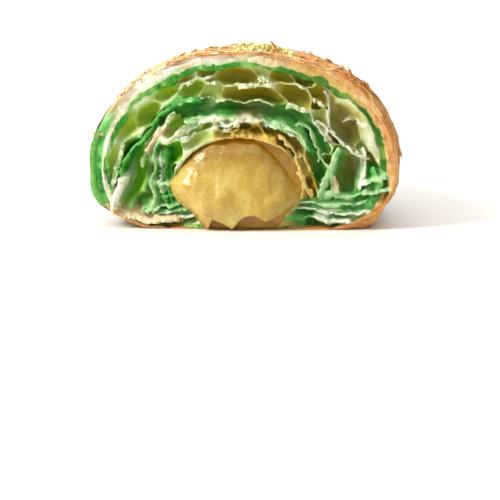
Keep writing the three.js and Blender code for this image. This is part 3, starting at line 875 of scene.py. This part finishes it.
def layer_to_share(layer, turn):
    """Share of the span of a layer: 0 at the cavity's edge and 1 at the outer sheet."""
    inner = inner_sheet_at(turn)
    if layer < SHEET_AT:
        return CAVITY + (inner - CAVITY) * layer / SHEET_AT
    return inner + (OUTER_SHEET - inner) * (layer - SHEET_AT) / (1 - SHEET_AT)


def kind_at(turn, layer):
    """Kind of pocket for a place of the crumb that the table of pockets leaves free."""
    if layer < SHEET_AT:
        return STAINED if turn < math.radians(95) else FILM
    return LIME if turn > math.radians(115) else OLIVE


def all_pockets():
    """Rows of kind, x, z, half length, half height and depth: those listed and small ones between them."""
    rng = np.random.default_rng(SEED)
    rows = list(POCKETS)
    for _ in range(FILLERS):
        turn = math.radians(rng.uniform(2, 178))
        layer = rng.uniform(0.04, 0.98)
        span = float(layer_to_share(layer, turn) * span_at(turn))
        x = ROLL_MIDDLE[0] + span * math.cos(turn)
        z = ROLL_MIDDLE[1] + span * math.sin(turn)
        high = rng.uniform(0.6, 1.5)
        row = (kind_at(turn, layer), x, z, high * rng.uniform(1.4, 2.8), high, rng.uniform(1.2, 4.0))
        if all(np.hypot(*pocket_place(listed, x, z)) > 1.0 for listed in POCKETS):
            rows.append(row)
    return np.array(rows)


def pocket_place(pocket, x, z, shift=(0.0, 0.0)):
    """Place in a pocket along its ring and across it: 1 at its edge."""
    _, middle_x, middle_z, long, high, _ = pocket
    tangent = math.atan2(middle_z - ROLL_MIDDLE[1], middle_x - ROLL_MIDDLE[0]) + math.pi / 2
    cosine = math.cos(tangent)
    sine = math.sin(tangent)
    dx = x - middle_x + shift[0]
    dz = z - middle_z + shift[1]
    along = (dx * cosine + dz * sine) / (long * POCKET_GROWTH)
    return along, (dz * cosine - dx * sine) / (high * POCKET_GROWTH)


def nearest_pockets(pockets, x, y, z, shift):
    """Distance to the nearest and the second nearest pocket, below zero inside it, and their rows."""
    first = np.full(np.broadcast(x, y, z).shape, FAR, dtype=np.float32)
    second = first.copy()
    first_row = np.zeros(first.shape, dtype=np.int16)
    second_row = first_row.copy()
    for row, pocket in enumerate(pockets):
        _, _, _, long, high, deep = pocket
        along, across = pocket_place(pocket, x, z, shift)
        back = (y - POCKET_MOUTH) / deep
        reach = np.sqrt(along ** 2 + across ** 2 + back ** 2)
        slope = (along / (long * POCKET_GROWTH)) ** 2 + (across / (high * POCKET_GROWTH)) ** 2
        gap = reach * (reach - 1) / np.maximum(np.sqrt(slope + (back / deep) ** 2), 1e-4)
        closer = gap < first
        middle = (gap < second) & ~closer
        second_row = np.where(closer, first_row, np.where(middle, row, second_row))
        second = np.where(closer, first, np.where(middle, gap, second))
        first_row = np.where(closer, row, first_row)
        first = np.where(closer, gap, first)
    return first, second, first_row, second_row


def side_by_side(pockets, first_row, second_row):
    """How much two neighbouring pockets lie in one ring: 1 beside each other and 0 above each other."""
    dx = pockets[first_row, 1] - pockets[second_row, 1]
    dz = pockets[first_row, 2] - pockets[second_row, 2]
    outward_x = pockets[first_row, 1] - ROLL_MIDDLE[0]
    outward_z = pockets[first_row, 2] - ROLL_MIDDLE[1]
    radial = (dx * outward_x + dz * outward_z) ** 2
    whole = (dx ** 2 + dz ** 2) * (outward_x ** 2 + outward_z ** 2) + TINY
    return ramp(1 - radial / whole, 0.5, 0.9)


def warp(tables, x, y, z, field):
    """Shift of each place across and up, the same for a mesh and for its colours."""
    return [lumps(waves, x, y, z, 0.0, field) for waves in tables]


def outer_sheet_at(turn):
    """Share of the span at which the green sheet lies: deeper under the thick rind at the upper left."""
    return np.interp(np.degrees(turn), *SHEET_SHARES)


def sheet_half(turn, x, y, z, field):
    """Half thickness of the green sheet with its unevenness, the same for the mesh and for its colours."""
    half = np.interp(np.degrees(turn), *SHEET_HALVES) * (1 + 0.9 * field(x, y, z, 4.0, 56))
    return np.maximum(lumps(SHEET_LUMPS, x, y, z, half, field), SHEET_LEAST)


def torn_edges(turn, share, span):
    """How far each thin layer of the rind stops behind the cut, torn off unevenly."""
    layer = np.floor(share * RIND_LAYERS)
    torn = lumps(RIND_TEARS, turn * span, layer * 37.0, 0.0)
    return torn * ramp(share, OUTER_SHEET, OUTER_SHEET + 0.02)


def pressed_share(x, z):
    """How much a place belongs to the pressed layers near the foot."""
    total = 0.0
    for middle_x, middle_z, wide, high in PRESSED:
        reach = np.sqrt(((x - middle_x) / wide) ** 2 + ((z - middle_z) / high) ** 2)
        total = np.maximum(total, 1 - ramp(reach, 0.75, 1.1))
    return total


def pocket_walls(pockets, axes, face, front, teeth):
    """Field of the thin walls between the pockets, torn back unevenly behind the cut face."""
    x, y, z = np.ix_(*axes)
    first, second, first_row, second_row = nearest_pockets(
        pockets, x, y, z, warp(POCKET_WARP, *axes, grid_noise))
    stacked = 1 - side_by_side(pockets, first_row, second_row)
    film = lumps(FILM_WAVES, *axes, 0.19, grid_noise)
    film = film + stacked * np.maximum(0.16 + 0.4 * grid_noise(*axes, 5.0, 74), 0.0)
    frill = np.maximum(grid_noise(*face, 0.9, 75), 0.0) * ramp(front + 1.6 - y, 0.0, 1.2)
    film = film + 0.4 * frill
    both_gap = (pockets[first_row, 0] == GAP) & (pockets[second_row, 0] == GAP)
    film = np.where(both_gap, -1.0, film)
    wall = np.maximum(first, film - (second - first) / 2)
    thin = np.exp(-np.maximum(first + 0.3, 0.0) / 0.5)
    torn = np.maximum(grid_noise(*face, 6.0, 49), 0.0) * 1.6
    back = (1 - stacked) * thin * np.maximum(1.6 + 1.6 * grid_noise(*face, 7.0, 69), 0.2)
    out = stacked * thin * np.maximum(0.5 + 0.9 * grid_noise(*face, 4.0, 76), 0.0)
    return np.minimum(wall, y - front - thin * (1.5 * teeth + torn) - back + out)


def layer_path(corners):
    """Places along a layer: a smooth curve with the given corners as its control points."""
    share = np.linspace(0, 1, LAYER_SAMPLES)[:, None]
    rest = 1 - share
    weights = [rest ** 3, 3 * share * rest ** 2, 3 * share ** 2 * rest, share ** 3]
    return np.concatenate(weights, 1) @ np.array(corners)


def layer_distance(corners, x, z):
    """Distance from places of the cut to a layer."""
    path = layer_path(corners)
    nearest = np.full(np.broadcast(x, z).shape, FAR)
    for start, end in zip(path[:-1], path[1:]):
        step = end - start
        share = ((x - start[0]) * step[0] + (z - start[1]) * step[1]) / (step @ step)
        share = np.clip(share, 0.0, 1.0)
        away = np.hypot(x - start[0] - share * step[0], z - start[1] - share * step[1])
        nearest = np.minimum(nearest, away)
    return nearest


def add_layers(solid, axes, face, share, span, teeth):
    """Swaps the pockets for separate thin layers where the crumb is pressed, and adds the webs."""
    xs, ys, zs = axes
    x, y, z = np.ix_(*axes)
    shift_x, shift_z = warp(LAYER_WARP, *axes, grid_noise)
    floor = (y - PRESSED_DEPTH - 1.6 * grid_noise(*face, 3.0, 66)) * 0.7
    solid = solid + (np.minimum(floor, solid + 8) - solid) * pressed_share(x, z)
    ragged = teeth + 0.8 * np.maximum(grid_noise(*face, 4.0, 62), 0.0)
    lump = grid_noise(*axes, 2.2, 63)
    rim = (0.965 + 0.07 * (1 - ramp(y, -0.6, 0.2)) - share) * span
    for _, half, start, lean, corners in LAYERS:
        low_x, low_z = layer_path(corners).min(axis=0) - LAYER_REACH
        high_x, high_z = layer_path(corners).max(axis=0) + LAYER_REACH
        near_x = (xs > low_x) & (xs < high_x)
        near_z = (zs > low_z) & (zs < high_z)
        box = np.ix_(near_x, np.ones(len(ys), dtype=bool), near_z)
        depth = y - start - ragged[box]
        behind = np.clip(y - start, 0.0, LAYER_DEPTH)
        place_x = x[near_x] + shift_x[box] - lean[0] * behind
        place_z = z[:, :, near_z] + shift_z[box] - lean[1] * behind
        distance = layer_distance(corners, place_x, place_z)
        layer = half * (1 + 0.6 * lump[box]) * ramp(depth, -0.2, 0.8) - distance
        solid[box] = np.maximum(solid[box], reduce(np.minimum, [layer, depth, rim[box]]))
    return solid


def make_crumb(material):
    """Crumb at the cut: pockets with thin walls, the green sheet, the rind and thin layers."""
    axes = [np.arange(-WIDTH / 2, WIDTH / 2 + CRUMB_STEP, CRUMB_STEP),
            np.arange(CRUMB_FRONT, CRUMB_BACK, CRUMB_DEPTH_STEP),
            np.arange(CRUMB_FOOT, HEIGHT, CRUMB_STEP)]
    axes = [axis.astype(np.float32) for axis in axes]
    x, y, z, turn, share, span = grid_places(*axes)
    face = (axes[0], axes[1] * 0, axes[2])
    front = lumps(CUT_FACE, *face, 0.4, grid_noise)
    teeth = np.abs(grid_noise(*face, 1.1, 57)) + 0.5 * np.abs(grid_noise(*face, 0.6, 58))
    pockets = all_pockets()
    walls = pocket_walls(pockets, axes, face, front, teeth)

    wave = lumps(SHEET_WAVES, *axes, 0.0, grid_noise)
    sheet_share = outer_sheet_at(turn).astype(np.float32) + wave
    sheet = sheet_half(turn, *axes, grid_noise) - np.abs(share - sheet_share) * span
    rind = (share - sheet_share - 0.012) * span
    lining = 0.3 + 0.25 * grid_noise(*axes, 2.5, 59) - np.abs(share - CAVITY - wave) * span
    sheets = reduce(np.maximum, [sheet, rind, lining])
    sheets = np.minimum(sheets, y - front - torn_edges(turn, share, span) - 0.6 * teeth)

    solid = np.where(share < CAVITY - 0.012, -1.0, np.maximum(walls, sheets))
    solid = np.maximum(solid, (y - CRUMB_BACK + CRUMB_FLOOR) * 0.5)
    edge = CRUMB_EDGE * (1 - 0.07 * ramp(y, 1.0, 6.0))
    solid = np.minimum(solid, (edge - share) * span)
    solid = add_layers(solid, axes, face, share, span, teeth)
    points, faces = largest_body(*surface_net(solid, axes))
    tint, rough = crumb_colours(points, pockets)
    crumb = make_piece("crumb", bend_roll(*points.T), [faces], "croissant_half",
                       material, tint, rough)
    thin_out(crumb, ramp(points[:, 1], *HIDDEN_DEPTH), CRUMB_TRIANGLES / (2 * len(faces)))


def pocket_colours(pockets, x, y, z, degrees, blotch, fine):
    """Colours of the pockets and of the pale webs between them, with painted shade deep inside the pockets,
    under their ceilings and on the right side of the cut.
    """
    depth = np.maximum(y, 0.0)
    first, second, row, next_row = nearest_pockets(pockets, x, y, z, warp(POCKET_WARP, x, y, z, noise))
    kind, middle_x, middle_z, long, high, deep = pockets[row].T
    next_kind = pockets[next_row, 0]
    reach = np.clip(depth / np.maximum(deep, 1.0), 0.0, 1.2)
    lean = np.arctan2(middle_z - ROLL_MIDDLE[1], middle_x - ROLL_MIDDLE[0])
    tall = POCKET_GROWTH * np.hypot(long * np.cos(lean), high * np.sin(lean))
    # How low a place lies in its pocket: the lower floor keeps its paler tone and the upper part, under the
    # ceiling, gets painted shade
    low = ramp((middle_z - z) / tall, 0.0, 0.85)
    # Painted shade that darkens the deeper parts of the pockets on the right side of the cut
    right_side_shade = 1 - 0.5 * ramp(np.radians(60 - degrees), 0.0, 0.8) * ramp(depth, 0.5, 2.5)
    colour = np.zeros((len(x), 3))
    beside = colour.copy()
    for name, (edge, floor, deepest) in POCKET_TONES.items():
        # Each pocket darkens from its pale edge towards its deep floor: painted shade deep in the pocket,
        # less on its lower floor
        look = blend(edge, floor, ramp(depth, 0.3, 1.6))
        look = paint(look, (deepest, ramp(reach, 0.2, 0.9) * (1 - 0.65 * low)))
        if name == GAP:
            look = paint(look, ((176, 206, 140), 0.8 * ramp(blotch + 0.8 * fine, 0.0, 0.8)))
        elif name in (OLIVE, FILM, LIME):
            look = look * right_side_shade[:, None]
        colour = np.where((kind == name)[:, None], look, colour)
        beside = np.where((next_kind == name)[:, None], look, beside)
    colour = mix(colour, beside, 0.5 - 0.5 * ramp(second - first, 0.0, 1.2))
    web = (1 - ramp(second - first, 0.5, 2.2)) * (1 - ramp(depth, 0.8, 2.9))
    web = web * ((kind != STAINED) & (next_kind != STAINED))
    pale = blend((214, 218, 188), (226, 236, 208), ramp(degrees, 50, 110))
    return mix(colour, pale, 0.6 * web)


def rind_colours(share, beyond, arc, depth, degrees):
    """Colours of the thin layers outside the green sheet: amber at the right and white at the left."""
    streak = 0.7 * noise(arc / 5.0, share * RIND_LAYERS, depth, 1.0, 65)
    streak = streak + 0.6 * noise(arc / 1.6, share * RIND_LAYERS * 2.2, depth, 1.0, 68)
    amber = blend((212, 182, 100), (226, 166, 104), ramp(share, 0.92, 0.965))
    # Lighter streaks on the amber layers: painted highlights
    amber = paint(amber, ((246, 220, 170), 0.7 * ramp(streak, 0.1, 0.8)))
    white = blend((253, 238, 196), (255, 252, 236), ramp(streak, -0.6, 0.2))
    white = paint(white, ((196, 224, 166), 0.7 * (1 - ramp(beyond, 0.3, 1.3)) * ramp(streak, -0.5, 0.4)))
    return mix(amber, white, ramp(degrees, 58, 96))


def layer_colours(x, y, z, colour, fine):
    """Colours of the thin layers and webs, laid over those of the crumb."""
    shift_x, shift_z = warp(LAYER_WARP, x, y, z, noise)
    strip = noise(x, y * 0.3, z, 2.0, 64) + 0.5 * fine
    for kind, half, start, lean, corners in LAYERS:
        behind = np.clip(y - start, 0.0, LAYER_DEPTH)
        distance = layer_distance(corners, x + shift_x - lean[0] * behind, z + shift_z - lean[1] * behind)
        # Each layer darkens from the cut backwards: partly its own colour, partly painted shade
        tone = blend(*LAYER_TONES[kind], np.clip(ramp(y - start, 0.6, 3.2) + 0.35 * strip, 0.0, 1.0))
        colour = mix(colour, tone, (1 - ramp(distance - half, 0.25, 0.8)) * (y > start - 0.6))
    return colour


def crumb_colours(points, pockets):
    """Colour and roughness of each point of the crumb."""
    x, y, z = points.T
    turn, distance, share = polar_place(x, z)
    span = distance / np.maximum(share, TINY)
    degrees = np.degrees(turn)
    depth = np.maximum(y, 0.0)
    blotch = noise(x, y, z, 4.0, 61)
    fine = noise(x, y, z, 1.4, 63)
    mottle = blotch + 0.7 * fine
    colour = pocket_colours(pockets, x, y, z, degrees, blotch, fine)

    from_sheet = (share - outer_sheet_at(turn) - lumps(SHEET_WAVES, x, y, z)) * span
    green_half = sheet_half(turn, x, y, z, noise)
    sheet = 1 - ramp(np.abs(from_sheet) - green_half, 0.05, 0.35)
    dark = blend((58, 112, 22), (126, 160, 66), ramp(mottle, -0.2, 0.8))
    emerald = blend((60, 156, 40), (150, 206, 110), ramp(mottle, -0.3, 0.8))
    colour = mix(colour, mix(dark, emerald, ramp(degrees, 55, 95)), sheet)

    beyond = from_sheet - green_half
    rind = ramp(beyond, 0.0, 0.35)
    colour = mix(colour, rind_colours(share, beyond, turn * span, depth, degrees), rind)
    leafy = blend((62, 150, 54), (124, 208, 108), ramp(mottle, -0.5, 0.6))
    colour = mix(colour, leafy, ramp(degrees, 138, 150) * ramp(share, 0.922, 0.932))

    pressed = pressed_share(x, z) * (1 - rind)
    far = ramp(depth, 1.0, 3.5)
    shadow = mix(blend((84, 166, 84), (40, 116, 40), far), blend((156, 198, 130), (78, 124, 38), far),
                 ramp(-x, 5.0, 12.0))
    colour = mix(colour, shadow, pressed)
    lining = 1 - ramp(np.abs(share - CAVITY) * span, 0.6, 1.6)
    lining = lining * (0.8 - 0.65 * ramp(degrees, 90, 118))
    colour = paint(colour, ((220, 186, 100), lining * (1 - pressed)))
    colour = layer_colours(x, y, z, colour, fine)
    return np.clip(colour, 0.0, 1.0), 0.48 + 0.1 * blotch - 0.2 * sheet


# Cream

CREAM_MIDDLE = -2.2
CREAM_LENGTH = 62.0
CREAM_FOOT = 0.35

# Grid of the cream: its ends across, along and up. Along it turns from fine to coarse at the middle value.
CREAM_STEP = 0.33
CREAM_BACK_STEP = 1.5
CREAM_ACROSS = (-27.0, 22.0)
CREAM_ALONG = (-8.0, 9.0, 64.0)
CREAM_UP = (0.1, 28.0)

# Folds of its surface: height, size, seed and how much the way along and the way up count
CREAM_FOLDS = [
    (0.6, 6.5, 71, 1.0, 0.8),
    (0.22, 2.6, 72, 1.0, 0.7),
    (0.08, 1.0, 73, 1.0, 1.0),
    (0.09, 1.3, 77, 0.3, 0.3),
]

# Tongue that comes out of the cut: heights, how far it reaches left, right and out, and its sharp sides
TONGUE_LEVELS = [0.0, 2.0, 5.0, 8.0, 12.0, 16.0, 20.0, 23.0, 27.0]
TONGUE_LEFT = [8.6, 10.2, 12.4, 15.4, 18.2, 15.6, 11.0, 7.0, 2.0]
TONGUE_RIGHT = [10.0, 12.0, 14.3, 17.0, 15.0, 12.4, 9.0, 5.4, 2.0]
TONGUE_OUT = [3.6, 4.2, 4.4, 4.0, 3.0, 1.8, 0.2, -2.4, -7.0]
TONGUE_POWER = 5

# Lower edge of the cream: x and height of its drips, and how far it arches up between one and the next
DRIP_X = np.array([-13.6, -11.0, -8.2, -3.0, 5.4, 13.5])
DRIP_Z = [6.0, -1.6, 3.0, 0.4, 2.6, 7.5]
DRIP_ARCH = np.array([-0.8, -0.9, 0.3, 2.6, -0.8])
LIP_HIGH = 4.4
LOBE_OUT = 0.6
LOBE_HALF = 8.0


def join(first, second, soft):
    """Smooth union of two fields."""
    share = np.clip(0.5 + 0.5 * (first - second) / soft, 0, 1)
    return second + (first - second) * share + soft * share * (1 - share)


def lip_edge(x):
    """Height of the cream's lower edge: arches between drips."""
    span = np.clip(np.searchsorted(DRIP_X, x) - 1, 0, len(DRIP_ARCH) - 1)
    share = np.clip((x - DRIP_X[span]) / (DRIP_X[span + 1] - DRIP_X[span]), 0.0, 1.0)
    return np.interp(x, DRIP_X, DRIP_Z) + DRIP_ARCH[span] * 4 * share * (1 - share)


def make_cream(material):
    """Cream: a core that tapers back through the roll and a tongue that spills over the edge of the cut."""
    xs = np.arange(*CREAM_ACROSS, CREAM_STEP)
    ys = np.concatenate([np.arange(*CREAM_ALONG[:2], CREAM_STEP),
                         np.arange(*CREAM_ALONG[1:], CREAM_BACK_STEP)])
    zs = np.arange(*CREAM_UP, CREAM_STEP)
    x, y, z, turn, share, span = grid_places(xs, ys, zs)
    taper = np.sqrt(np.clip(1 - (np.maximum(y, 0) / CREAM_LENGTH) ** 2, 0.0, 1.0))
    core = ((CAVITY - 0.004) * taper - share) * span
    offset = x - CREAM_MIDDLE
    left, right, out = (np.interp(z, TONGUE_LEVELS, row) for row in (TONGUE_LEFT, TONGUE_RIGHT, TONGUE_OUT))
    width = np.where(offset < 0, left, right)
    side = np.clip(np.abs(offset) / width, 0.0, 1.0) ** TONGUE_POWER
    recess = np.interp(z, [6.0, 14.0], [1.0, 2.4])
    front = -out * (1 - side) + recess * side
    fold = sum(height * grid_noise(xs, ys * along, zs * up, size, seed)
               for height, size, seed, along, up in CREAM_FOLDS)
    surface = (y - front) * 0.8 + fold
    lip = (z - lip_edge(xs)[:, None, None]) * 0.7
    lobe = y + LOBE_OUT * np.sqrt(np.clip(1 - ((offset - 1.0) / LOBE_HALF) ** 2, 0.0, 1.0)) + 0.5 * fold
    spill = reduce(np.minimum, [surface, width - np.abs(offset) + fold, 1.5 - y])
    under = reduce(np.minimum, [spill, lobe, z - 0.4])
    field = join(np.minimum(core, surface), join(np.minimum(spill, lip), under, 0.5), 0.8)
    field = np.minimum(field, z - CREAM_FOOT)
    points, faces = largest_body(*surface_net(field, (xs, ys, zs)))
    tint, rough = cream_colours(points)
    make_piece("cream", bend_roll(*points.T), [faces], "pistachio_cream", material, tint, rough)


def cream_colours(points):
    """Colour and roughness of each point of the cream: painted shade at the right and at the top, a painted
    shadow under the lip, and darker behind the cut.
    """
    x, y, z = points.T
    blotch = noise(x, y, z, 3.0, 81)
    speck = noise(x, y, z, 0.8, 82)
    # Painted shadow under the lip of the cream, on the lobe below it
    under = ramp(LIP_HIGH + 1.0 - z, 0.0, 1.0) * ramp(y, -3.0, -1.2)
    colour = blend((202, 170, 80), (214, 187, 100), ramp(blotch, -0.5, 0.5))
    # Painted shade at the right and at the top under the film's edge, darker specks, darker behind the cut,
    # and the painted shadow under the lip
    colour = paint(colour, ((160, 120, 26), 0.45 * ramp(x + 0.3 * z, 4.0, 15.0)),
                   ((150, 108, 12), 0.75 * ramp(z + 0.8 * blotch, 13.0, 21.0)),
                   ((150, 108, 24), 0.35 * ramp(speck, 0.6, 0.9)),
                   ((168, 124, 16), ramp(y, -0.4, 3.0)),
                   ((190, 138, 40), under))
    return colour, 0.28 + 0.10 * blotch + 0.12 * speck


# Flakes of skin on the outside

SHEET_LONG = 15
SHEET_WIDE = 7
FLAKES = 90
FLAKE_THICKNESS = 0.16
FLAKE_ROUGHNESS = 0.5
FLAKE_BAND = 0.14
FLAKE_CURL = (0.1, 0.7)
FLAKE_DEGREES = (8, 152)
FLAKE_LONG = (1.4, 4.5)
FLAKE_WIDE = (0.5, 1.4)
FLAKE_TILT = 0.35
FLAKE_LIFT = (0.1, 0.35)
LARGE_TILT = 0.12
FLAKE_OVERHANG = -0.012
TURN_RADIUS = 36.0

# Larger flakes near the cut: share of the length, degrees, half length, half width, lift of the end
LARGE_FLAKES = [
    (0.012, 46, 3.6, 1.1, 2.4),
    (0.030, 77, 2.8, 0.9, 2.8),
    (0.004, 100, 4.6, 1.5, 0.5),
    (0.020, 112, 4.2, 1.7, 0.6),
    (0.000, 122, 4.4, 1.3, 0.9),
    (0.016, 131, 3.4, 1.4, 0.7),
    (0.006, 140, 3.0, 1.1, 0.9),
    (0.002, 62, 4.0, 1.2, 0.5),
    (0.004, 30, 4.0, 1.2, 0.6),
]


def sheet_faces(rows, columns, start):
    """Faces of a closed thin sheet: its two sides, one after the other, and the strip round its edge."""
    row, column = np.meshgrid(np.arange(rows - 1), np.arange(columns - 1), indexing="ij")
    corner = (row * columns + column).ravel()
    top = np.stack([corner, corner + 1, corner + columns + 1, corner + columns], axis=-1)
    under = rows * columns
    grid = np.arange(under).reshape(rows, columns)
    edge = np.concatenate([grid[0, :-1], grid[:-1, -1], grid[-1, :0:-1], grid[:0:-1, 0]])
    after = np.roll(edge, -1)
    strip = np.stack([after, edge, edge + under, after + under], axis=-1)
    return start + np.concatenate([top, top[:, ::-1] + under, strip])


def sheet_outline(rows, columns, seed):
    """Places across a sheet with a torn outline: along from -1 to 1 and across from -1 to 1."""
    along = np.linspace(-1, 1, rows)[:, None] + np.zeros((1, columns))
    across = np.linspace(-1, 1, columns)[None, :] + np.zeros((rows, 1))
    width = np.maximum(1 - np.abs(along) ** 2.5, 0.02) ** 0.55
    width = width * (1 + 0.45 * noise(along * 4.0, np.sign(across) * 5.0, 0.0, 1.0, seed))
    shift = 0.25 * noise(along * 1.5, 0.0, 9.0, 1.0, seed)
    along = along + 0.12 * noise(across * 2.0, along, 4.0, 0.7, seed)
    return along, across * width + shift


def flake_rows(rng):
    """Place, size, tilt and lift of each flake: the large ones and small ones between them."""
    rows = [(share, degrees, long, wide, LARGE_TILT * (-1) ** number, lift, 1)
            for number, (share, degrees, long, wide, lift) in enumerate(LARGE_FLAKES)]
    for _ in range(FLAKES):
        share = FLAKE_BAND * rng.random() ** 1.6
        curl = rng.uniform(*FLAKE_CURL)
        rows.append((share, rng.uniform(*FLAKE_DEGREES), rng.uniform(*FLAKE_LONG), rng.uniform(*FLAKE_WIDE),
                     rng.normal(0.0, FLAKE_TILT), curl, rng.choice([-1, 1])))
    return rows


def make_flakes(material):
    """Loose flakes of skin near the cut and along the top, each lifted at one end."""
    rng = np.random.default_rng(SEED + 2)
    points = []
    faces = []
    colours = []
    count = 2 * SHEET_LONG * SHEET_WIDE
    for number, (share, degrees, long, wide, tilt, curl, end) in enumerate(flake_rows(rng)):
        along, across = sheet_outline(SHEET_LONG, SHEET_WIDE, 100 + number)
        sideways = along * long * math.cos(tilt) - across * wide * math.sin(tilt)
        lengthways = across * wide * math.cos(tilt) + along * long * math.sin(tilt)
        turn = math.radians(degrees) + sideways / TURN_RADIUS
        place = np.maximum(share + lengthways / LENGTH, FLAKE_OVERHANG)
        wrinkle = 0.12 * noise(along * 3, across * 3, 0.0, 1.0, 300 + number)
        lift = rng.uniform(*FLAKE_LIFT) + curl * ramp(along * end, 0.0, 1.2) + wrinkle
        for side in (0.0, -FLAKE_THICKNESS):
            surface, _ = roll_surface(place, turn, lift + side)
            points.append(bend_roll(*surface).reshape(-1, 3))
        faces.append(sheet_faces(SHEET_LONG, SHEET_WIDE, number * count))
        tone = blend((206, 128, 56), (240, 196, 128), rng.random() ** 1.5)
        tone = paint(tone, ((240, 212, 164), 0.6 * ramp(degrees, 95.0, 130.0)))
        colours.append(np.tile(tone, (count, 1)))
    make_piece("flakes", np.concatenate(points), [np.concatenate(faces)], "croissant_half",
               material, np.concatenate(colours), FLAKE_ROUGHNESS)


# Pistachio crumbs on top: heaps of grains and a light dusting

# Share of the length, degrees, spread along, spread round, grains, height of the heap
HEAP_HEIGHT = 1.9
NUT_HEAPS = [
    (0.040, 87, 0.020, 3.6, 300, HEAP_HEIGHT),
    (0.035, 75, 0.016, 2.2, 120, HEAP_HEIGHT),
    (0.040, 104, 0.030, 7.0, 50, 0.0),
    (0.030, 132, 0.025, 9.0, 50, 0.0),
    (0.010, 146, 0.006, 10.0, 36, 0.0),
    (0.560, 96, 0.050, 12.0, 130, 0.0),
    (0.300, 90, 0.150, 26.0, 160, 0.0),
]
GRAIN = (0.16, 0.66)
GRAIN_FORM = (0.55, 1.2)
GRAIN_ROUGHNESS = 0.75
GRAIN_FROM_CUT = 0.006


def stone_shape():
    """Points and triangles of a ball of small triangles."""
    ball = bmesh.new()
    bmesh.ops.create_icosphere(ball, subdivisions=1, radius=1.0)
    points = np.array([vertex.co[:] for vertex in ball.verts])
    triangles = np.array([[vertex.index for vertex in face.verts] for face in ball.faces])
    ball.free()
    return points, triangles


def make_nuts(material):
    """Grains of nut, each a small lumpy stone that lies on the crust or on its heap."""
    rng = np.random.default_rng(SEED + 1)
    unit, triangles = stone_shape()
    stones = []
    faces = []
    colours = []
    for share_middle, angle_middle, share_spread, angle_spread, grains, heap in NUT_HEAPS:
        for _ in range(grains):
            share = max(share_middle + rng.normal(0, share_spread), GRAIN_FROM_CUT)
            angle = math.radians(angle_middle + rng.normal(0, angle_spread))
            size = GRAIN[0] + (GRAIN[1] - GRAIN[0]) * rng.random() ** 2
            pile = 1 - min(abs(share - share_middle) / (2.5 * share_spread), 1.0)
            lift = 0.4 * size + (heap * pile * rng.random() if heap else 0.0)
            surface, _ = roll_surface(np.array([[share]]), np.array([[angle]]), lift)
            spin = np.linalg.qr(rng.normal(size=(3, 3)))[0]
            lumpy = 1 + 0.35 * noise(unit[:, 0] + rng.uniform(0, 50), unit[:, 1], unit[:, 2], 0.8, 91)
            stone = (unit * lumpy[:, None] * rng.uniform(*GRAIN_FORM, 3)) @ spin * size
            faces.append(triangles + len(stones) * len(unit))
            stones.append(stone + bend_roll(*surface).reshape(3))
            tone = blend((252, 242, 182), (206, 192, 96), rng.random() ** 1.8)
            colours.append(np.tile(tone, (len(unit), 1)))
    make_piece("pistachio_crumbs", np.concatenate(stones), [np.concatenate(faces)], "croissant_half",
               material, np.concatenate(colours), GRAIN_ROUGHNESS, smooth=False)


# Stage, light and camera, in metres

FLOOR_SIZE = 9.0
FLOOR_ROUGHNESS = 0.6
AZIMUTH = math.radians(3)
ELEVATION = math.radians(10)
CAMERA_DISTANCE = 0.45
CAMERA_AIM = (0.0015, -0.038, -0.0055)
SENSOR = 36.0
LENS = 123.5
NEAREST = 0.01
WORLD_COLOUR = (1.0, 0.98, 0.95)
WORLD_STRENGTH = 0.29

# Name, place, aim, size, power and colour of each light
LIGHTS = [
    ("key", (-0.48, -0.30, 0.46), (0, -0.03, 0.02), 0.26, 4.6, (1.0, 0.97, 0.92)),
    ("ceiling", (0.0, 2.1, 4.5), (0, 2.1, 0.0), 9.0, 370.0, WORLD_COLOUR),
    ("backdrop", (0.0, 3.4, 1.6), (0, 3.4, 0.0), 2.6, 24.0, WORLD_COLOUR),
]


def aim_at(thing, place, aim):
    """Puts a camera or a light at a place and turns it towards its aim."""
    bpy.context.scene.collection.objects.link(thing)
    thing.location = place
    thing.rotation_euler = (Vector(aim) - Vector(place)).to_track_quat("-Z", "Y").to_euler()


def make_stage():
    """White floor under the part."""
    bpy.ops.mesh.primitive_plane_add(size=FLOOR_SIZE, location=(0, 0, 0))
    floor = bpy.context.object
    floor.name = "floor"
    made, _, _, shader = new_material("floor")
    shader.inputs["Base Color"].default_value = (*linear(244, 243, 240), 1.0)
    shader.inputs["Roughness"].default_value = FLOOR_ROUGHNESS
    floor.data.materials.append(made)


def make_lights():
    """Bright surroundings and square lights."""
    world = bpy.data.worlds.new("studio")
    bpy.context.scene.world = world
    world.use_nodes = True
    background = world.node_tree.nodes["Background"]
    background.inputs["Color"].default_value = (*WORLD_COLOUR, 1.0)
    background.inputs["Strength"].default_value = WORLD_STRENGTH
    for name, place, aim, size, power, colour in LIGHTS:
        light = bpy.data.lights.new(name, "AREA")
        light.size = size
        light.energy = power
        light.color = colour
        aim_at(bpy.data.objects.new(name, light), place, aim)


def make_camera():
    """Camera with the framing of the photo."""
    data = bpy.data.cameras.new("camera")
    data.sensor_width = SENSOR
    data.lens = LENS
    data.clip_start = NEAREST
    camera = bpy.data.objects.new("camera", data)
    place = (CAMERA_AIM[0] + CAMERA_DISTANCE * math.sin(AZIMUTH) * math.cos(ELEVATION),
             CAMERA_AIM[1] - CAMERA_DISTANCE * math.cos(AZIMUTH) * math.cos(ELEVATION),
             CAMERA_AIM[2] + CAMERA_DISTANCE * math.sin(ELEVATION))
    aim_at(camera, place, CAMERA_AIM)
    bpy.context.scene.camera = camera


bpy.context.scene.view_settings.view_transform = "Standard"
make_camera()
make_lights()
make_stage()
baked = crust_material()
make_crust(baked)
make_bud(baked)
make_crumb(crumb_material())
make_cream(cream_material())
make_flakes(baked)
make_nuts(nut_material())
